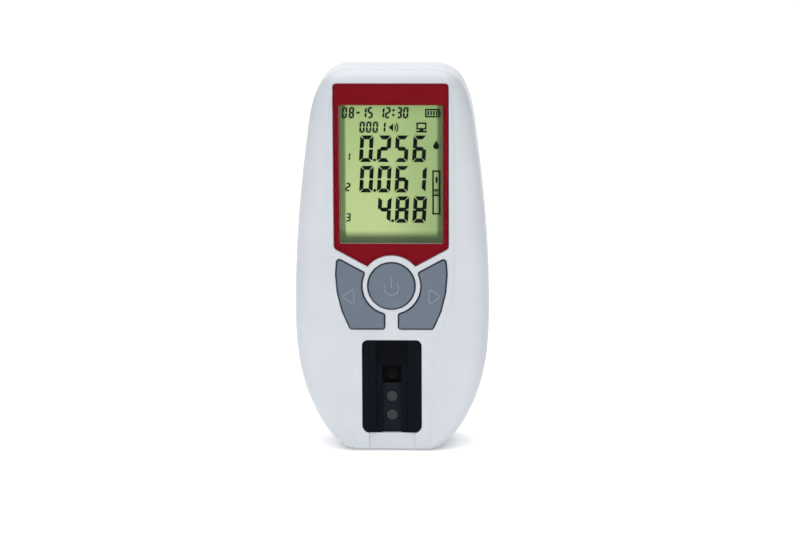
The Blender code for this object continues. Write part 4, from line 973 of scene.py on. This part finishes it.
plates = Plates()
FIRST_FIGURE_X = -11.1
BIG = {"pitch": 6.09, "width": 4.6, "height": 9.25, "stroke": 1.38}
for reading, base, label in (("0.256", 101.9, "1"), ("0.061", 91.3, "2"), (" 4.88", 80.7, "3")):
    plates.figures(reading, FIRST_FIGURE_X, base, **BIG)
    plates.figures(label, -15.9, base + 0.4, pitch=2.0, width=1.75, height=2.9, stroke=0.56)
SMALL = {"width": 1.85, "height": 3.9, "stroke": 0.66}
DATE_BASE = 117.05
COUNT_BASE = 112.05
plates.figures("08-", -16.95, DATE_BASE, pitch=2.38, **SMALL)
plates.figures("15", -10.3, DATE_BASE, pitch=2.15, **SMALL)
plates.figures("12:", -4.2, DATE_BASE, pitch=2.1, **SMALL)
plates.figures("30", 1.85, DATE_BASE, pitch=2.2, **SMALL)
plates.figures("000", -10.95, COUNT_BASE, pitch=2.27, **SMALL)
plates.figures("1", -3.8, COUNT_BASE, pitch=2.27, **SMALL)

# Battery level
plates.frame((11.7, 117.4), (16.7, 120.35), 0.5)
plates.bar((16.9, 118.3), (16.9, 119.45), 0.4)
for i in range(4):
    plates.bar((12.75 + 0.97 * i, 118.1), (12.82 + 0.97 * i, 119.65), 0.58)
# Loudspeaker
plates.shape([(-0.6, 113.4), (-0.1, 113.4), (0.75, 112.4), (0.75, 115.4), (-0.1, 114.4), (-0.6, 114.4)])
plates.band((0.3, 113.9), 1.25, 0.42, -42.0, 42.0, 8)
plates.band((0.3, 113.9), 2.05, 0.42, -48.0, 48.0, 10)
# Computer
plates.frame((8.7, 113.2), (12.2, 115.65), 0.54)
plates.bar((10.45, 113.3), (10.45, 112.8), 1.3)
plates.bar((8.6, 112.5), (12.3, 112.5), 0.6)
# Blood drop
DROP_RADIUS = 1.05
DROP_STEPS = 18
drop_x, drop_z = 15.5, 107.4
turns = (math.radians(-200.0 + 220.0 * i / DROP_STEPS) for i in range(DROP_STEPS + 1))
drop = [(drop_x + DROP_RADIUS * math.cos(a), drop_z + DROP_RADIUS * math.sin(a)) for a in turns]
plates.shape([*drop, (15.95, 108.6), (15.5, 109.55), (15.05, 108.6)])
# Test strip
plates.frame((14.1, 83.6), (16.95, 99.05), 0.56)
plates.bar((14.5, 92.2), (16.65, 92.2), 0.5)
plates.bar((14.5, 90.3), (16.65, 90.3), 0.5)
plates.band((15.57, 91.25), 0.55, 0.3)
plates.shape([(15.57, 97.1), (15.1, 96.0), (15.4, 94.5), (15.74, 94.5), (16.04, 96.0)])

ink_finish = Finish("lcd_ink", (9, 16, 10), 0.35, {"Specular IOR Level": 0.03})
ink_clouds = ink_finish.noise(200.0)
ink_finish.feed("Base Color", ink_finish.mix(ink_clouds, (7, 14, 9), (11, 18, 12)))
figures = make("lcd_figures", plates.bm, ink_finish.material)
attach(figures, "case")


# Keys
# Blue-grey soft-touch mouldings with a rounded rim, standing a little proud, each with a raised
# sign: a standby ring and bar on the round key, hollow triangles on the wings.
key_finish = Finish("key_grey", (100, 111, 125), 0.42, {"Specular IOR Level": 0.35})
key_clouds = key_finish.noise(CLOUD_SCALE)
key_colour = key_finish.mix(key_clouds.ramp(0.35, 0.65), (98, 109, 123), (101, 112, 126))
KEY_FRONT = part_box("power_key")[0][1] + 0.2 * MM
# Painted highlight: the fronts of the raised signs are painted lighter, as where their ridges catch the
# light, and are made a little glossier.
sign_highlight_and_gloss = key_finish.axis("Y").ramp(KEY_FRONT - 0.03 * MM, KEY_FRONT - 0.12 * MM)
key_finish.feed("Base Color", key_finish.mix(sign_highlight_and_gloss, key_colour, (122, 134, 148)))
key_finish.feed("Roughness", 0.44 - sign_highlight_and_gloss * 0.12)
key_finish.bump(key_finish.noise(GRAIN_SCALE, 3.0), BUMP_HEIGHT, 0.5)
KEY_ROUNDING = 0.45 * MM
LIP_Y = FRONT_INNER_Y + FIT
SIGN_HALF_WIDTH = 0.32 * MM
SIGN_RISE = 0.2 * MM
SIGN_STEPS = 12


def key_cap(name, outline, icons, node, stem_place):
    """Key cap with a lip behind the cover, a stem on its switch and its raised sign."""
    rim = offset(outline, -KEY_ROUNDING)
    cap = slab(name, rim, KEY_FRONT, LIP_Y + EMBED, KEY_ROUNDING, 0.0, key_finish.material, steps=8)
    flange = offset(outline, 0.6 * MM)
    join(cap, slab("tool", flange, LIP_Y, LIP_Y + 1.0 * MM, 0.0, 0.0, parent=hold), "UNION")
    stem_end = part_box(node)[1][1]
    join(cap, rod(stem_place, 2.2 * MM, LIP_Y + EMBED, stem_end), "UNION")
    for icon in icons:
        join(cap, icon, "UNION")
    crisp(cap)
    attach(cap, node)
    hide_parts(node)


def sign(path, closed):
    """Raised half-round line along a path, slightly sunk into the key."""
    bm = bmesh.new()
    rows = []
    for i, (x, z) in enumerate(path):
        before = Vector(path[i - 1]) if closed or i else Vector(path[i])
        after = Vector(path[(i + 1) % len(path)]) if closed or i + 1 < len(path) else Vector(path[i])
        along = (after - before).normalized()
        side = Vector((along.y, -along.x))
        row = []
        for step in range(SIGN_STEPS + 1):
            angle = math.radians(-20.0 + 220.0 * step / SIGN_STEPS)
            reach = side * (SIGN_HALF_WIDTH * math.cos(angle))
            row.append((x + reach.x, KEY_FRONT - SIGN_RISE * math.sin(angle), z + reach.y))
        rows.append(row)
    loft(bm, rows, closed)
    return make("tool", bm, parent=hold)


sign_centre = (0.0, POWER_KEY_HEIGHT - 0.55 * MM)
ring = arc(sign_centre, 2.5 * MM, 133.0, 407.0, 48)
bar_top = sign_centre[1] + 4.1 * MM
bar = [(0.0, bar_top - 4.2 * MM * i / 4) for i in range(5)]
key_cap("power_cap", circle(HUB, POWER_HOLE_RADIUS), [sign(ring, False), sign(bar, False)], "power_key", HUB)
SIGN_CORNER = 0.5 * MM
triangle = [(17.0 * MM, POWER_KEY_HEIGHT - 3.6 * MM, SIGN_CORNER)]
triangle += [(13.0 * MM, triangle[0][1] + side * 2.75 * MM, SIGN_CORNER) for side in (1, -1)]
triangle = fillet(triangle, 6)
stem = (12.5 * MM, POWER_KEY_HEIGHT - 2.0 * MM)
key_cap("right_cap", WING, [sign(triangle, True)], "right_key", stem)
key_cap("left_cap", mirrored(WING), [sign(mirrored(triangle), True)], "left_key", (-stem[0], stem[1]))


# Strip holder
# Black moulding in the lower opening: a shallow groove, a deeper lane for the strip that runs
# under a hood, a pit at the hood's mouth and three round holes for the optical windows. The
# groove round the hood and the pit are painted darker, as painted shade.
GROOVE_HALF_WIDTH = 5.5 * MM
LANE_HALF_WIDTH = 3.3 * MM
groove_top = HOLDER_TOP_HEIGHT - 1.9 * MM
hood_base = groove_top - 7.15 * MM
pit_base = hood_base - 6.45 * MM
holder_back = PLATEAU_Y + 5.0 * MM
holder_finish = Finish("holder_black", (14, 17, 25), 0.42, {"Specular IOR Level": 0.04})
holder_x, holder_z = holder_finish.axis("X"), holder_finish.axis("Z")
off_middle = holder_finish.node("ShaderNodeMath", {"operation": "ABSOLUTE"}, {0: holder_x})
blur = 0.1 * MM
in_lane = off_middle.ramp(LANE_HALF_WIDTH + blur / 2.0, LANE_HALF_WIDTH - blur / 2.0)
in_groove = off_middle.ramp(GROOVE_HALF_WIDTH + blur, GROOVE_HALF_WIDTH)
below_pit = holder_z.ramp(pit_base + blur, pit_base - blur)
below_hood = holder_z.ramp(hood_base + 2.5 * blur, hood_base - blur / 2.0)
# Painted shade: the groove round and over the hood is darkened where the hood's shade falls.
hood_shade = in_groove * (1.0 - below_hood)
shades = holder_finish.mix(in_lane * below_pit, (12, 15, 24), (24, 27, 34))
shades = holder_finish.mix(hood_shade, shades, (7, 8, 13))
# Painted shade: the deep pit under the hood is painted near black.
pit_shade = in_lane * below_hood * (1.0 - below_pit)
holder_finish.feed("Base Color", holder_finish.mix(pit_shade, shades, (1, 1, 2)))
holder_finish.bump(holder_finish.noise(GRAIN_SCALE, 3.0), BUMP_HEIGHT, 0.4)
outer = offset(HOLDER_HOLE, -0.2 * MM)
holder = slab("strip_bay", outer, PLATEAU_Y, holder_back, 0.4 * MM, 0.0, holder_finish.material)
flange = offset(HOLDER_HOLE, 0.8 * MM)
join(holder, slab("tool", flange, LIP_Y, holder_back, 0.0, 0.0, parent=hold), "UNION")
below = HOLDER_BASE_HEIGHT - 5.0 * MM
groove = rectangle(GROOVE_HALF_WIDTH, below, groove_top, 0.5 * MM)
groove_y = PLATEAU_Y + 0.9 * MM
join(holder, slab("tool", groove, PLATEAU_Y, groove_y, -0.15 * MM, 0.1 * MM, parent=hold))
lane = rectangle(LANE_HALF_WIDTH, below, hood_base, 0.4 * MM)
lane_y = PLATEAU_Y + 2.0 * MM
join(holder, slab("tool", lane, groove_y, lane_y, -0.12 * MM, 0.1 * MM, parent=hold))
tunnel_y = PLATEAU_Y + 1.6 * MM
tunnel_low = (-LANE_HALF_WIDTH, tunnel_y, hood_base - OUTSIDE)
join(holder, block(tunnel_low, (LANE_HALF_WIDTH, lane_y, groove_top - 1.5 * MM)))
pit_low = (-LANE_HALF_WIDTH, tunnel_y, pit_base)
join(holder, block(pit_low, (LANE_HALF_WIDTH, PLATEAU_Y + 3.0 * MM, hood_base + 1.0 * MM)))
EYE_RADIUS = 2.1 * MM
EYE_SEAT_RADIUS = 2.87 * MM
for height in (12.8 * MM, 19.45 * MM, 26.6 * MM):
    join(holder, rod((0.0, height), EYE_RADIUS, lane_y - EMBED, holder_back + OUTSIDE, 64))
    join(holder, rod((0.0, height), EYE_SEAT_RADIUS, holder_back - 1.1 * MM, holder_back + OUTSIDE, 60))
crisp(holder)
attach(holder, "case")
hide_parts("strip_holder")


# Optical windows and small inner pieces
# Smoked clear lenses in the strip lane, and what fills the case behind the covers: each keeps
# its own solid and gets its finish here.
BLACK = (28, 28, 30)
STEEL = (190, 190, 192)
FINISHES = {
    # Painted shade: the third window is the same smoked lens, painted near black for the hood's shadow over
    # it.
    "optic_window_3": moulding("lens_smoke_shaded", (9, 10, 12), 0.3, 0.05, 0.05),
    "optic_window": moulding("lens_smoke", (47, 51, 58), 0.25, 0.05, 0.2),
    "lcd_backlight": moulding("light_guide", (225, 232, 215), 0.3),
    "light_sensor": moulding("sensor_clear", (216, 220, 205), 0.15),
    "lcd_connector": moulding("rubber_strip", (70, 72, 74), 0.8),
    "lcd_frame": moulding("frame_grey", (90, 92, 95), 0.6),
    "plunger": moulding("plunger_grey", (90, 92, 95), 0.5),
    "main_board": moulding("board_green", (24, 86, 52), 0.45),
    "switch": moulding("switch_black", BLACK, 0.6),
    "optics_block": moulding("optics_black", (26, 26, 28), 0.6),
    "processor_chip": moulding("chip_black", BLACK, 0.6),
    "buzzer": moulding("buzzer_black", BLACK, 0.5),
    "radio_module": metal("can_steel", STEEL, 0.35),
    "usb_socket": metal("socket_steel", STEEL, 0.3),
    "spring": metal("spring_steel", STEEL, 0.3),
    "screw": metal("screw_steel", STEEL, 0.3),
    "contact_plate": metal("plate_tin", (205, 198, 180), 0.3),
    "battery_cell": moulding("cell_wrap", (60, 64, 70), 0.3),
}
for name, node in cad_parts.items():
    for part, material in FINISHES.items():
        if part in name:
            for slot in node.material_slots:
                slot.material = material
            break
